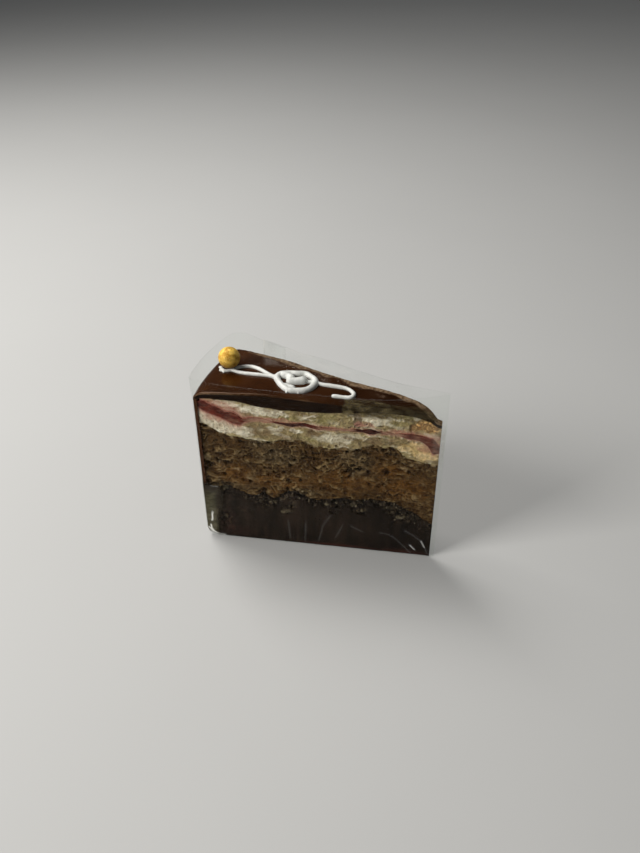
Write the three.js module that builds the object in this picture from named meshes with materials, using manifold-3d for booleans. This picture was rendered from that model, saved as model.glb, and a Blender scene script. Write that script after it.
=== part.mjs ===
// Slice of a round chocolate layer cake, one sixteenth of the cake, in its clear film collar.
// Millimetres, +Z up. The slice lies along X with its tip at +X and its outer rim at -X.
// The origin is on the surface that it stands on, under the middle of its bounding box.

import * as THREE from 'three';
import Module from 'manifold-3d';
import { mergeVertices } from 'three/addons/utils/BufferGeometryUtils.js';

// Driving dimensions

const CAKE_RADIUS = 100;
const HALF_ANGLE = THREE.MathUtils.degToRad(22.5 / 2);
const TIP_X = 49.7;
const FILM_WALL = 0.4;
const CLEARANCE = 0.3;
const LAYER_GAP = 0.3;
const TIP_HALF_WIDTH = 0.2;
const FOOD_CORNER = 1;
const FILM_CORNER = 1.2;

const STATION_STEP = 3;
const ACROSS = [-1, -0.6, -0.2, 0.2, 0.6, 1];

const COAT_WALL = 1.3;
const COAT_BOTTOM = 27;
const BASE_START = 2.6;
const LAYER_START = COAT_WALL + 0.35;
const UPPER_CREAM_START = 2.6;

const PEARL_DIAMETER = 9.2;
const PEARL_PLACE = [-41.8, 2.0];
const ICING_HALF_HEIGHT = 1.3;
const ICING_RISE = 0.2;

// Heights of the layer boundaries, as [distance from the rim, height] along the cut face

const BASE_TOP = profile([
  [0, 28], [6, 28.4], [11, 28.5], [16.2, 26.8], [20.5, 25.6], [26.8, 27.2], [32, 24.8], [38.2, 29.4],
  [43, 28.4], [50, 25.9], [55.4, 27], [62, 28.2], [66, 27.4], [71, 28.6], [81, 28.2], [90, 24], [97.5, 19],
]);
const SPONGE_TOP = profile([
  [0, 62.2], [3.5, 61.4], [6, 59.8], [9, 58.1], [13, 56.6], [18, 56], [31, 55.4], [37, 56.7], [43, 57],
  [50, 54.9], [55.5, 53.9], [61, 55.3], [67, 55.4], [72, 58.3], [80.3, 57.8], [86, 53], [92, 51.3], [97.5, 50.9],
]);
const JAM_BOTTOM = profile([
  [0, 70.6], [3.4, 68.5], [7.1, 66.6], [11.5, 65], [15, 63.4], [18.3, 62.6], [22, 64.3], [28, 64.9], [40, 63.7],
  [50, 63.5], [63, 63.8], [72, 63.3], [82, 63.4], [88, 62.5], [91.6, 61.6], [94, 59.9], [96.5, 56.6], [98.5, 56],
]);
const JAM_TOP = profile([
  [0, 72.4], [4, 72.3], [6.5, 71.2], [9.3, 70], [13, 68], [16.8, 67.4], [20, 65.6], [28, 66.2], [34, 65.4],
  [46, 65.6], [52, 64.5], [63, 64.7], [72, 65.2], [82, 64.5], [91, 64.2], [96.5, 63.2], [98.5, 61],
]);
const GLAZE_BOTTOM = profile([
  [0, 72.9], [3, 73.9], [13, 74], [20, 73.4], [26, 72.2], [34, 71.5], [44, 71.3], [52, 71.7], [60, 72.4],
  [70, 73.2], [80, 73.6], [87, 73.2], [91, 72.4], [94.5, 71.2], [97.5, 68.8],
]);
const GLAZE_TOP = profile([
  [0, 74.3], [1.2, 75.4], [4, 76.3], [13, 77.1], [30, 77.7], [46, 77],
  [60, 76.3], [76, 76.8], [88, 76.4], [94, 74.4], [97, 72],
]);

// How much higher the glaze is at the back face than at the front one

const GLAZE_BACK_RISE = profile([
  [0, 0], [20, 0.3], [35, 0.6], [47, 0.9], [58, 1.6], [72, 2.1], [82, 2], [97, 2],
]);

// How far the base's rim end stands back at each height: rounded at its foot, crumbled away higher up

const BASE_SETBACK = profile([[0, 1.2], [2.5, 0], [9, 0], [13, 1], [17, 2.3], [22, 3.1], [27, 3.2]]);
const SETBACK_REACH = 12;

// Depth of the crags that the knife left in each cut face, and single hollows in the front one

const CRAG = { base: 0.8, sponge: 0.7, cream: 0.35, jam: 0.2, glaze: 0.12 };
const HOLLOWS = [
  { along: 80.6, height: 54.5, reach: 3.4, depth: 1.6 },
  { along: 66, height: 43.5, reach: 4.2, depth: 0.9 },
  { along: 5.5, height: 42, reach: 4.5, depth: 0.9 },
  { along: 8, height: 28, reach: 3, depth: 1.2 },
  { along: 43.5, height: 28, reach: 3, depth: 1.2 },
];

// Top edge of the film, and how far its foot is tucked in under the rim

const FILM_BOTTOM = 0.4;
const FILM_TOP_FRONT = profile([[0, 83.6], [12, 81.8], [45, 80.6], [76, 80.8], [92, 83], [100, 85.2]]);
const FILM_TOP_BACK = profile([
  [0, 82.3], [7, 84.2], [16, 83.5], [25, 83], [34, 82.8], [46, 83.4], [60, 82.9], [80, 83], [100, 85.2],
]);
const FILM_FOLD_RADIUS = 0.15;
const FILM_LAP = { outerEnd: 15.5, innerEnd: 27, ramp: 5, spare: 2 };
const FILM_TUCK = { depth: 2, height: 4.5, along: 12 };
const FILM_LEVELS = [0, 1.2, 2.6, FILM_TUCK.height, 46];
const FILM_NEAR_RIM = [FILM_CORNER, 5, 8, 12];
const FILM_STEPS = { rim: 8, front: 16, back: 12, fold: 4 };

// Piped icing: the middle of each stroke on the glaze, as [x, y], and its half width

const UPPER_STRAND = [
  [-39, 1.9], [-36.5, 3.5], [-33.7, 4.4], [-30.9, 4.1], [-27.6, 2.8], [-24.3, 1.1], [-21.1, -0.2], [-19.5, -0.8],
];
const LOWER_STRAND = [
  [-39.9, 0], [-36.8, -0.8], [-33.2, -1], [-29.3, -0.7], [-25.4, -0.4], [-21, -0.4], [-19.5, -0.8],
];
const KNOT_RING = [
  [-19.5, -0.8], [-18.8, 2.1], [-16.6, 3.8], [-13, 4.7], [-9.8, 5.9], [-6.9, 4.7], [-4.2, 2.4],
  [-4, -0.8], [-5.7, -4.4], [-8.8, -6.2], [-12.4, -6.9], [-15.5, -5.3], [-18, -2.9],
];
const TAIL = [
  [-4.2, 1.8], [-1.1, 1.6], [3, 1.9], [6.3, 2.1], [9.3, 2], [11.8, 0.7], [13.1, -0.9],
  [12.5, -2.7], [10.2, -3.4], [7.5, -3.8], [5.7, -4.1],
];
const STROKES = [
  { points: UPPER_STRAND, width: 0.85 },
  { points: LOWER_STRAND, width: 0.8 },
  { points: KNOT_RING, width: 1.5, closed: true },
  { points: [[-17.4, 0.4], [-15.4, 0.8], [-13.9, 0.2]], width: 2 },
  { points: [[-13.4, -4.1], [-10.8, -4.2]], width: 1.8 },
  { points: [[-14.1, -1.3], [-12.1, -0.9], [-10.4, 0.1], [-8.6, 1.2]], width: 2.2 },
  { points: [[-8.7, 1.2], [-6.2, 1.4], [-4.2, 1.8]], width: 0.95 },
  { points: TAIL, width: 0.95 },
  { points: [[-46.4, 1.6], [-44.4, -0.2], [-42, -0.9], [-40.5, 0.4]], width: 1.1 },
];
const DAB = { place: [-11.4, -0.4], halfSizes: [3.4, 2.4, 1.8] };

// A smooth field between 0 and 1 over a seeded grid

function gridValue(i, j, seed) {
  const value = Math.sin(i * 127.1 + j * 311.7 + seed * 74.7) * 43758.5453;
  return value - Math.floor(value);
}

function field(u, v, seed) {
  const i = Math.floor(u);
  const j = Math.floor(v);
  const a = THREE.MathUtils.smoothstep(u - i, 0, 1);
  const b = THREE.MathUtils.smoothstep(v - j, 0, 1);
  const low = THREE.MathUtils.lerp(gridValue(i, j, seed), gridValue(i + 1, j, seed), a);
  const high = THREE.MathUtils.lerp(gridValue(i, j + 1, seed), gridValue(i + 1, j + 1, seed), a);
  return THREE.MathUtils.lerp(low, high, b);
}

// A smooth curve through [position, value] points, level beyond both ends

function profile(points) {
  const last = points.length - 1;
  const slopes = points.map((point, i) => {
    const before = points[Math.max(i - 1, 0)];
    const after = points[Math.min(i + 1, last)];
    return (after[1] - before[1]) / (after[0] - before[0]);
  });
  return (position) => {
    if (position <= points[0][0]) return points[0][1];
    if (position >= points[last][0]) return points[last][1];
    const i = points.findIndex((point) => point[0] > position) - 1;
    const span = points[i + 1][0] - points[i][0];
    const t = (position - points[i][0]) / span;
    const ease = t * t * (3 - 2 * t);
    const lift = points[i][1] + ease * (points[i + 1][1] - points[i][1]);
    const leave = slopes[i] * span * t * (1 - t) * (1 - t);
    const arrive = slopes[i + 1] * span * t * t * (1 - t);
    return lift + leave - arrive;
  };
}

// Plan of the food: a wedge with a round rim and eased rim corners, cut off square at its tip

const FOOD_LENGTH = CAKE_RADIUS - TIP_HALF_WIDTH / Math.sin(HALF_ANGLE);
const CORNER_REACH = 5;

function foodPlan(along, across) {
  const corner = Math.abs(across) === 1 ? FOOD_CORNER * Math.max(0, 1 - along / CORNER_REACH) : 0;
  const radius = CAKE_RADIUS - along - corner;
  const angle = across * HALF_ANGLE;
  return new THREE.Vector2(TIP_X - radius * Math.cos(angle), radius * Math.sin(angle));
}

function alongAt(x, y) {
  return CAKE_RADIUS - Math.hypot(TIP_X - x, y);
}

function closedGeometry(vertices, triangles) {
  const geometry = new THREE.BufferGeometry();
  geometry.setAttribute('position', new THREE.Float32BufferAttribute(vertices.flat(), 3));
  geometry.setIndex(triangles.flat());
  return geometry;
}

// One layer of the cake: a slab from rim to tip between two heights, with crags in its walls

const CRAG_SHARE = 0.3;

function layer({ start, bottom, top, rows, crag, seed, setback = () => 0 }) {
  const stations = [start];
  for (let along = STATION_STEP; along < FOOD_LENGTH - STATION_STEP / 2; along += STATION_STEP) {
    if (along > start + STATION_STEP / 3) stations.push(along);
  }
  stations.push(FOOD_LENGTH);
  const lastAlong = stations.length - 1;
  const lastAcross = ACROSS.length - 1;

  const vertices = [];
  const triangles = [];
  const ids = new Map();

  function isWall(i, j) {
    return i === 0 || i === lastAlong || j === 0 || j === lastAcross;
  }

  function vertexAt(i, j, row) {
    const key = `${i} ${j} ${row}`;
    if (ids.has(key)) return ids.get(key);
    const along = stations[i];
    const across = ACROSS[j];
    const heightAt = (place) => THREE.MathUtils.lerp(bottom(place, across), top(place, across), row / rows);
    const reach = along + setback(heightAt(along)) * Math.max(0, 1 - (along - start) / SETBACK_REACH);
    const z = heightAt(reach);
    const plan = foodPlan(reach, across);
    if (isWall(i, j)) {
      const halfWidth = (CAKE_RADIUS - along) * Math.sin(HALF_ANGLE);
      const side = j === 0 ? 0 : j === lastAcross ? 1 : 2;
      let depth = crag * gridValue(i * 3 + side, row * 7 + j, seed);
      if (side === 0) {
        for (const hollow of HOLLOWS) {
          const distance = Math.hypot(along - hollow.along, z - hollow.height);
          depth += hollow.depth * Math.max(0, 1 - (distance / hollow.reach) ** 2);
        }
      }
      depth = Math.min(depth, halfWidth * CRAG_SHARE);
      const inward = inwardDirection(i, j, across);
      plan.addScaledVector(inward, depth);
    }
    ids.set(key, vertices.length);
    vertices.push([plan.x, plan.y, z]);
    return ids.get(key);
  }

  function inwardDirection(i, j, across) {
    if (j === 0) return new THREE.Vector2(-Math.sin(HALF_ANGLE), Math.cos(HALF_ANGLE));
    if (j === lastAcross) return new THREE.Vector2(-Math.sin(HALF_ANGLE), -Math.cos(HALF_ANGLE));
    const angle = across * HALF_ANGLE;
    const toTip = new THREE.Vector2(Math.cos(angle), -Math.sin(angle));
    return i === 0 ? toTip : toTip.negate();
  }

  for (let i = 0; i < lastAlong; i += 1) {
    for (let j = 0; j < lastAcross; j += 1) {
      const upper = [[i, j], [i + 1, j], [i + 1, j + 1], [i, j + 1]].map(([a, b]) => vertexAt(a, b, rows));
      const lower = [[i, j], [i + 1, j], [i + 1, j + 1], [i, j + 1]].map(([a, b]) => vertexAt(a, b, 0));
      triangles.push([upper[0], upper[1], upper[2]], [upper[0], upper[2], upper[3]]);
      triangles.push([lower[0], lower[2], lower[1]], [lower[0], lower[3], lower[2]]);
    }
  }

  const loop = [];
  for (let i = 0; i < lastAlong; i += 1) loop.push([i, 0]);
  for (let j = 0; j < lastAcross; j += 1) loop.push([lastAlong, j]);
  for (let i = lastAlong; i > 0; i -= 1) loop.push([i, lastAcross]);
  for (let j = lastAcross; j > 0; j -= 1) loop.push([0, j]);
  loop.forEach(([i, j], place) => {
    const [nextI, nextJ] = loop[(place + 1) % loop.length];
    for (let row = 0; row < rows; row += 1) {
      const a = vertexAt(i, j, row);
      const b = vertexAt(nextI, nextJ, row);
      const c = vertexAt(nextI, nextJ, row + 1);
      const d = vertexAt(i, j, row + 1);
      triangles.push([a, b, c], [a, c, d]);
    }
  });
  return closedGeometry(vertices, triangles);
}

// Boundaries through the slice: as cut at the front, drifting a little towards the back

const DRIFT_WAVE = 9;

function boundary(heights, drift, seed) {
  return (along, across) => {
    const behind = (across + 1) / 2;
    return heights(along) + behind * drift * (field(along / DRIFT_WAVE, across, seed) - 0.5);
  };
}

const baseTop = boundary(BASE_TOP, 3, 11);
const spongeTop = boundary(SPONGE_TOP, 2.4, 12);
const jamBottom = boundary(JAM_BOTTOM, 1.6, 13);
const jamTop = boundary(JAM_TOP, 1.6, 13);
const glazeBottom = boundary(GLAZE_BOTTOM, 0.6, 14);
const glazeTop = (along, across) => GLAZE_TOP(along) + ((across + 1) / 2) * GLAZE_BACK_RISE(along);

function glazeAt(x, y) {
  return glazeTop(alongAt(x, y), Math.atan2(y, TIP_X - x) / HALF_ANGLE);
}

function under(surface) {
  return (along, across) => surface(along, across) - LAYER_GAP / 2;
}

function over(surface) {
  return (along, across) => surface(along, across) + LAYER_GAP / 2;
}

// Joining and cutting of closed shapes

const wasm = await Module();
wasm.setup();

function solid(geometry) {
  const bare = geometry.clone();
  bare.deleteAttribute('normal');
  bare.deleteAttribute('uv');
  const merged = mergeVertices(bare, 1e-4);
  const vertProperties = new Float32Array(merged.attributes.position.array);
  const triVerts = new Uint32Array(merged.index.array);
  return new wasm.Manifold(new wasm.Mesh({ numProp: 3, vertProperties, triVerts }));
}

function geometryOf(manifold) {
  const { vertProperties, triVerts } = manifold.getMesh();
  const geometry = new THREE.BufferGeometry();
  geometry.setAttribute('position', new THREE.BufferAttribute(new Float32Array(vertProperties), 3));
  geometry.setIndex(new THREE.BufferAttribute(new Uint32Array(triVerts), 1));
  return geometry;
}

// A bead of icing along a stroke: round in section, with rounded ends unless the stroke is closed

const BEAD_SIDES = 8;
const BEAD_STEP = 1.5;
const BEAD_END = 0.7;

function bead({ points, width, closed = false }) {
  const places = points.map(([x, y]) => new THREE.Vector3(x, y, glazeAt(x, y) + ICING_RISE));
  const curve = new THREE.CatmullRomCurve3(places, closed, 'centripetal');
  const steps = Math.max(3, Math.round(curve.getLength() / BEAD_STEP));
  const vertices = [];
  const triangles = [];
  const ringCount = closed ? steps : steps + 1;
  for (let step = 0; step < ringCount; step += 1) {
    const centre = curve.getPointAt(step / steps);
    const along = curve.getTangentAt(step / steps);
    const aside = new THREE.Vector3(-along.y, along.x, 0).normalize();
    for (let side = 0; side < BEAD_SIDES; side += 1) {
      const turn = (side / BEAD_SIDES) * 2 * Math.PI;
      const place = centre.clone().addScaledVector(aside, width * Math.cos(turn));
      vertices.push([place.x, place.y, place.z + Math.min(width, ICING_HALF_HEIGHT) * Math.sin(turn)]);
    }
  }
  for (let step = 0; step < steps; step += 1) {
    const here = step * BEAD_SIDES;
    const next = ((step + 1) % ringCount) * BEAD_SIDES;
    for (let side = 0; side < BEAD_SIDES; side += 1) {
      const turned = (side + 1) % BEAD_SIDES;
      triangles.push([here + side, here + turned, next + turned], [here + side, next + turned, next + side]);
    }
  }
  if (!closed) {
    for (const [step, outward] of [[0, -1], [steps, 1]]) {
      const end = curve.getPointAt(step / steps);
      end.addScaledVector(curve.getTangentAt(step / steps), outward * width * BEAD_END);
      const cap = vertices.length;
      vertices.push([end.x, end.y, end.z]);
      for (let side = 0; side < BEAD_SIDES; side += 1) {
        const a = step * BEAD_SIDES + side;
        const b = step * BEAD_SIDES + ((side + 1) % BEAD_SIDES);
        triangles.push(outward < 0 ? [cap, b, a] : [cap, a, b]);
      }
    }
  }
  return closedGeometry(vertices, triangles);
}

// The dab at the middle of the icing's knot, a low dome

function dab() {
  const geometry = new THREE.SphereGeometry(1, 16, 10);
  geometry.rotateX(Math.PI / 2);
  geometry.scale(...DAB.halfSizes);
  return geometry.translate(...DAB.place, glazeAt(...DAB.place) + ICING_RISE);
}

// Glaze: the poured top, the thin coat down the rim and the piped icing, set as one piece

const pearlRadius = PEARL_DIAMETER / 2;
const pearlHeight = glazeAt(...PEARL_PLACE) + CLEARANCE + pearlRadius;

function pearlBall(radius) {
  const geometry = new THREE.SphereGeometry(radius, 20, 12);
  geometry.rotateX(Math.PI / 2);
  return geometry;
}

const COAT_OVERLAP = 1;

function rimCoat() {
  const corners = [];
  for (const inset of [0, COAT_WALL]) {
    const edge = ACROSS.map((across) => foodPlan(inset, across));
    corners.push(...(inset === 0 ? edge : edge.reverse()));
  }
  const depth = GLAZE_BOTTOM(COAT_WALL) + COAT_OVERLAP - COAT_BOTTOM;
  const geometry = new THREE.ExtrudeGeometry(new THREE.Shape(corners), { depth, bevelEnabled: false });
  return geometry.translate(0, 0, COAT_BOTTOM);
}

function glaze() {
  const top = layer({
    start: 0, bottom: over(glazeBottom), top: glazeTop, rows: 2, crag: CRAG.glaze, seed: 6,
  });
  let body = solid(top).add(solid(rimCoat()));
  for (const stroke of STROKES) body = body.add(solid(bead(stroke)));
  body = body.add(solid(dab()));
  const seat = pearlBall(pearlRadius + CLEARANCE).translate(...PEARL_PLACE, pearlHeight);
  return geometryOf(body.subtract(solid(seat)));
}

// Film: one clear strip round the whole slice, its ends lapped on the back face

function filmPath() {
  const rimInside = CAKE_RADIUS + CLEARANCE;
  const radial = (side) => new THREE.Vector2(-Math.cos(HALF_ANGLE), side * Math.sin(HALF_ANGLE));
  const outwardOf = (side) => new THREE.Vector2(Math.sin(HALF_ANGLE), side * Math.cos(HALF_ANGLE));
  const tip = new THREE.Vector2(TIP_X, 0);
  const path = [];

  function faceStation(side, along, lift) {
    const place = tip.clone().addScaledVector(radial(side), rimInside - along);
    place.addScaledVector(outwardOf(side), CLEARANCE + lift);
    const top = side < 0 ? FILM_TOP_FRONT(along) : FILM_TOP_BACK(along);
    const tuck = Math.max(0, 1 - along / FILM_TUCK.along);
    path.push({ place, outward: outwardOf(side), top, tuck: tuck * tuck });
  }

  const lapMiddle = (FILM_LAP.innerEnd + FILM_LAP.outerEnd) / 2;
  for (const along of [FILM_LAP.innerEnd, lapMiddle, ...FILM_NEAR_RIM.toReversed()]) faceStation(1, along, 0);

  const rimTurn = HALF_ANGLE - FILM_CORNER / rimInside;
  for (let step = 0; step <= FILM_STEPS.rim; step += 1) {
    const share = step / FILM_STEPS.rim;
    const turn = rimTurn * (1 - 2 * share);
    const outward = new THREE.Vector2(-Math.cos(turn), Math.sin(turn));
    const top = THREE.MathUtils.lerp(FILM_TOP_BACK(0), FILM_TOP_FRONT(0), share);
    path.push({ place: tip.clone().addScaledVector(outward, rimInside), outward, top, tuck: 1 });
  }

  const flatStart = FILM_NEAR_RIM.at(-1);
  const flatEnd = rimInside + (CLEARANCE - FILM_FOLD_RADIUS) / Math.tan(HALF_ANGLE);
  for (const along of FILM_NEAR_RIM) faceStation(-1, along, 0);
  for (let step = 1; step <= FILM_STEPS.front; step += 1) {
    faceStation(-1, THREE.MathUtils.lerp(flatStart, flatEnd, step / FILM_STEPS.front), 0);
  }

  const foldCentre = tip.clone();
  foldCentre.x += (CLEARANCE - FILM_FOLD_RADIUS) / Math.sin(HALF_ANGLE);
  const foldTurn = Math.PI / 2 - HALF_ANGLE;
  for (let step = 1; step < FILM_STEPS.fold; step += 1) {
    const turn = foldTurn * ((2 * step) / FILM_STEPS.fold - 1);
    const outward = new THREE.Vector2(Math.cos(turn), Math.sin(turn));
    const place = foldCentre.clone().addScaledVector(outward, FILM_FOLD_RADIUS);
    path.push({ place, outward, top: FILM_TOP_FRONT(CAKE_RADIUS), tuck: 0 });
  }

  const lapLift = FILM_WALL + CLEARANCE;
  const lapStart = FILM_LAP.innerEnd + FILM_LAP.spare;
  for (let step = 0; step <= FILM_STEPS.back; step += 1) {
    faceStation(1, THREE.MathUtils.lerp(flatEnd, lapStart + FILM_LAP.ramp, step / FILM_STEPS.back), 0);
  }
  for (const along of [lapStart, lapMiddle, FILM_LAP.outerEnd]) faceStation(1, along, lapLift);
  return path;
}

function film() {
  const rowCount = FILM_LEVELS.length + 1;
  const topRow = rowCount - 1;
  const path = filmPath();
  const vertices = [];
  const triangles = [];

  path.forEach(({ place, outward, top, tuck }) => {
    const toTip = new THREE.Vector2(TIP_X, 0).sub(place).normalize();
    for (let row = 0; row < rowCount; row += 1) {
      const z = row === topRow ? top : FILM_BOTTOM + FILM_LEVELS[row];
      const low = Math.max(0, 1 - (z - FILM_BOTTOM) / FILM_TUCK.height);
      const inner = place.clone().addScaledVector(toTip, FILM_TUCK.depth * low * low * tuck);
      const outer = inner.clone().addScaledVector(outward, FILM_WALL);
      vertices.push([inner.x, inner.y, z], [outer.x, outer.y, z]);
    }
  });

  const inside = (station, row) => (station * rowCount + row) * 2;
  const outside = (station, row) => inside(station, row) + 1;
  function quad(a, b, c, d) {
    triangles.push([a, b, c], [a, c, d]);
  }
  for (let here = 0; here < path.length - 1; here += 1) {
    const next = here + 1;
    for (let row = 0; row < topRow; row += 1) {
      const above = row + 1;
      quad(outside(here, row), outside(next, row), outside(next, above), outside(here, above));
      quad(inside(next, row), inside(here, row), inside(here, above), inside(next, above));
    }
    quad(inside(here, 0), inside(next, 0), outside(next, 0), outside(here, 0));
    quad(outside(here, topRow), outside(next, topRow), inside(next, topRow), inside(here, topRow));
  }
  const end = path.length - 1;
  for (let row = 0; row < topRow; row += 1) {
    const above = row + 1;
    quad(inside(0, row), outside(0, row), outside(0, above), inside(0, above));
    quad(outside(end, row), inside(end, row), inside(end, above), outside(end, above));
  }
  return closedGeometry(vertices, triangles);
}

// The slice, from the bottom up

const slice = new THREE.Group();

function addPiece(name, geometry, colour, roughness, metalness = 0) {
  geometry.computeVertexNormals();
  const material = new THREE.MeshStandardMaterial({ color: colour, roughness, metalness });
  const mesh = new THREE.Mesh(geometry, material);
  mesh.name = name;
  slice.add(mesh);
  return mesh;
}

addPiece('dark_base', layer({
  start: BASE_START, bottom: () => 0, top: under(baseTop), rows: 8, crag: CRAG.base, seed: 1, setback: BASE_SETBACK,
}), 0x1e1612, 0.95);

addPiece('chocolate_sponge', layer({
  start: LAYER_START, bottom: over(baseTop), top: under(spongeTop), rows: 10, crag: CRAG.sponge, seed: 2,
}), 0x3a2816, 0.85);

addPiece('cream_lower', layer({
  start: LAYER_START, bottom: over(spongeTop), top: under(jamBottom), rows: 3, crag: CRAG.cream, seed: 3,
}), 0xd8cdb4, 0.6);

addPiece('jam_layer', layer({
  start: LAYER_START, bottom: over(jamBottom), top: under(jamTop), rows: 1, crag: CRAG.jam, seed: 4,
}), 0x5a1c16, 0.35);

addPiece('cream_upper', layer({
  start: UPPER_CREAM_START, bottom: over(jamTop), top: under(glazeBottom), rows: 3, crag: CRAG.cream, seed: 5,
}), 0xd8cdb4, 0.6);

addPiece('glaze', glaze(), 0x301808, 0.2);

const pearl = addPiece('gold_pearl', pearlBall(pearlRadius), 0xd9a84a, 0.3, 0.6);
pearl.position.set(...PEARL_PLACE, pearlHeight);

addPiece('film', film(), 0xe8eaea, 0.08);

export default slice;
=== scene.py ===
import itertools
import math

import bpy
import numpy as np
from mathutils import Matrix, Vector


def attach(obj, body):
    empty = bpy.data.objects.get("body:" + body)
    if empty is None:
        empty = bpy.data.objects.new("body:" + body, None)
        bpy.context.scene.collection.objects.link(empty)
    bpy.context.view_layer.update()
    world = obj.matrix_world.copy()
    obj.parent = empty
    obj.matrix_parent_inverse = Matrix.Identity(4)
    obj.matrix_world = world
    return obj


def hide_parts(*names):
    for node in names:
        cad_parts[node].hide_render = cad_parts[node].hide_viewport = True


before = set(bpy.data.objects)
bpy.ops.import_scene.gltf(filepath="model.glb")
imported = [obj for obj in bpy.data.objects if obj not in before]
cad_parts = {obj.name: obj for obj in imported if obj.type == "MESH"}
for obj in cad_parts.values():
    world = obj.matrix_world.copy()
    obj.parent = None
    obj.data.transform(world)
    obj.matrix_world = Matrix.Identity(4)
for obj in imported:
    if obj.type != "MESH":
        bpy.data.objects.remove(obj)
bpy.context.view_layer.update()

# Camera, floor and lamps
# The camera is about 35 cm away and looks down on the front cut face, a little from the tip's side.
# The floor is a plain pale sheet. Two large soft lamps stand on the left, one behind and one in front.

CAMERA_PLACE = (0.09104, -0.25239, 0.25365)
CAMERA_TURN = (20.14, 36.07, -0.456)
FLOOR_HALF, FLOOR_LEVEL = 4.0, -0.0003

lens = bpy.data.cameras.new("camera")
lens.sensor_fit = "VERTICAL"
lens.sensor_height = 36
lens.lens = 34.0
lens.clip_start = 0.01
camera = bpy.data.objects.new("camera", lens)
bpy.context.scene.collection.objects.link(camera)
bpy.context.scene.camera = camera
azimuth, pitch, roll = np.radians(CAMERA_TURN)
level_share = math.cos(pitch)
backward = Vector((math.sin(azimuth) * level_share, -math.cos(azimuth) * level_share, math.sin(pitch)))
level = Vector((math.cos(azimuth), math.sin(azimuth), 0))
upright = backward.cross(level)
rightward = level * math.cos(roll) + upright * math.sin(roll)
upward = upright * math.cos(roll) - level * math.sin(roll)
turn = Matrix((rightward, upward, backward)).transposed().to_4x4()
camera.matrix_world = Matrix.Translation(CAMERA_PLACE) @ turn


def soft_lamp(name, place, target, size, power, colour):
    """Square area lamp that faces a point."""
    lamp_data = bpy.data.lights.new(name, "AREA")
    lamp_data.size = size
    lamp_data.energy = power
    lamp_data.color = colour
    lamp = bpy.data.objects.new(name, lamp_data)
    lamp.location = place
    lamp.rotation_euler = (Vector(place) - Vector(target)).to_track_quat("Z", "Y").to_euler()
    bpy.context.scene.collection.objects.link(lamp)


soft_lamp("key_lamp", (-0.50, 0.20, 0.80), (0, 0, 0.05), 0.50, 6.5, (1.0, 0.98, 0.95))
soft_lamp("side_lamp", (-0.65, -0.62, 0.62), (0, 0, 0.04), 0.40, 9.0, (1.0, 0.98, 0.95))
world = bpy.data.worlds.new("studio")
world.use_nodes = True
world.node_tree.nodes["Background"].inputs["Color"].default_value = (0.30, 0.31, 0.32, 1)
world.node_tree.nodes["Background"].inputs["Strength"].default_value = 0.30
bpy.context.scene.world = world
bpy.context.scene.view_settings.view_transform = "Standard"


def make_node(tree, kind, inputs=None, **settings):
    """New node with its settings and inputs: values, sockets, or nodes for their first output."""
    made = tree.nodes.new(kind)
    for setting, value in settings.items():
        setattr(made, setting, value)
    for socket, value in (inputs or {}).items():
        if isinstance(value, bpy.types.Node):
            value = value.outputs[0]
        if isinstance(value, bpy.types.NodeSocket):
            tree.links.new(value, made.inputs[socket])
        else:
            made.inputs[socket].default_value = value
    return made


def new_finish(name):
    """Material with its node tree, its shader and the object's own coordinates."""
    material = bpy.data.materials.new(name)
    material.use_nodes = True
    tree = material.node_tree
    place = tree.nodes.new("ShaderNodeTexCoord").outputs["Object"]
    return material, tree, tree.nodes["Principled BSDF"], place


def grain(tree, place, scale, stretch=(1, 1, 1), detail=4.0, rough=0.55):
    """Noise from 0 to 1 with a number of features per metre, drawn out along an axis by a small stretch."""
    drawn = make_node(tree, "ShaderNodeMapping", {"Vector": place, "Scale": stretch})
    inputs = {"Vector": drawn, "Scale": scale, "Detail": detail, "Roughness": rough}
    return make_node(tree, "ShaderNodeTexNoise", inputs).outputs[0]


def between(tree, value, low, high, to_low=0.0, to_high=1.0):
    """Value moved from one range to another and held inside it."""
    inputs = {"Value": value, "From Min": low, "From Max": high, "To Min": to_low, "To Max": to_high}
    return make_node(tree, "ShaderNodeMapRange", inputs).outputs[0]


def sums(tree, operation, first, second):
    """One sum of two numbers or sockets."""
    return make_node(tree, "ShaderNodeMath", {0: first, 1: second}, operation=operation).outputs[0]


def weighted(tree, *parts):
    """Sum of numbers or sockets, each times its weight."""
    total = 0.0
    for value, weight in parts:
        total = sums(tree, "ADD", total, sums(tree, "MULTIPLY", value, weight))
    return total


def mixed(tree, share, first, second):
    """Colour between two colours, each a socket or its red, green and blue."""
    first, second = ((*tint, 1) if isinstance(tint, tuple) else tint for tint in (first, second))
    return make_node(tree, "ShaderNodeMix", {0: share, 6: first, 7: second}, data_type="RGBA").outputs[2]


def dress(tree, shader, colour, roughness, specular):
    """Colour, roughness and mirror share of a material."""
    tree.links.new(colour, shader.inputs["Base Color"])
    tree.links.new(roughness, shader.inputs["Roughness"])
    shader.inputs["Specular IOR Level"].default_value = specular


def raised(tree, shader, height, distance, strength=1.0):
    """Fine relief of a surface from a height value."""
    inputs = {"Height": height, "Distance": distance, "Strength": strength}
    if shader.inputs["Normal"].is_linked:
        inputs["Normal"] = shader.inputs["Normal"].links[0].from_socket
    tree.links.new(make_node(tree, "ShaderNodeBump", inputs).outputs[0], shader.inputs["Normal"])


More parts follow.
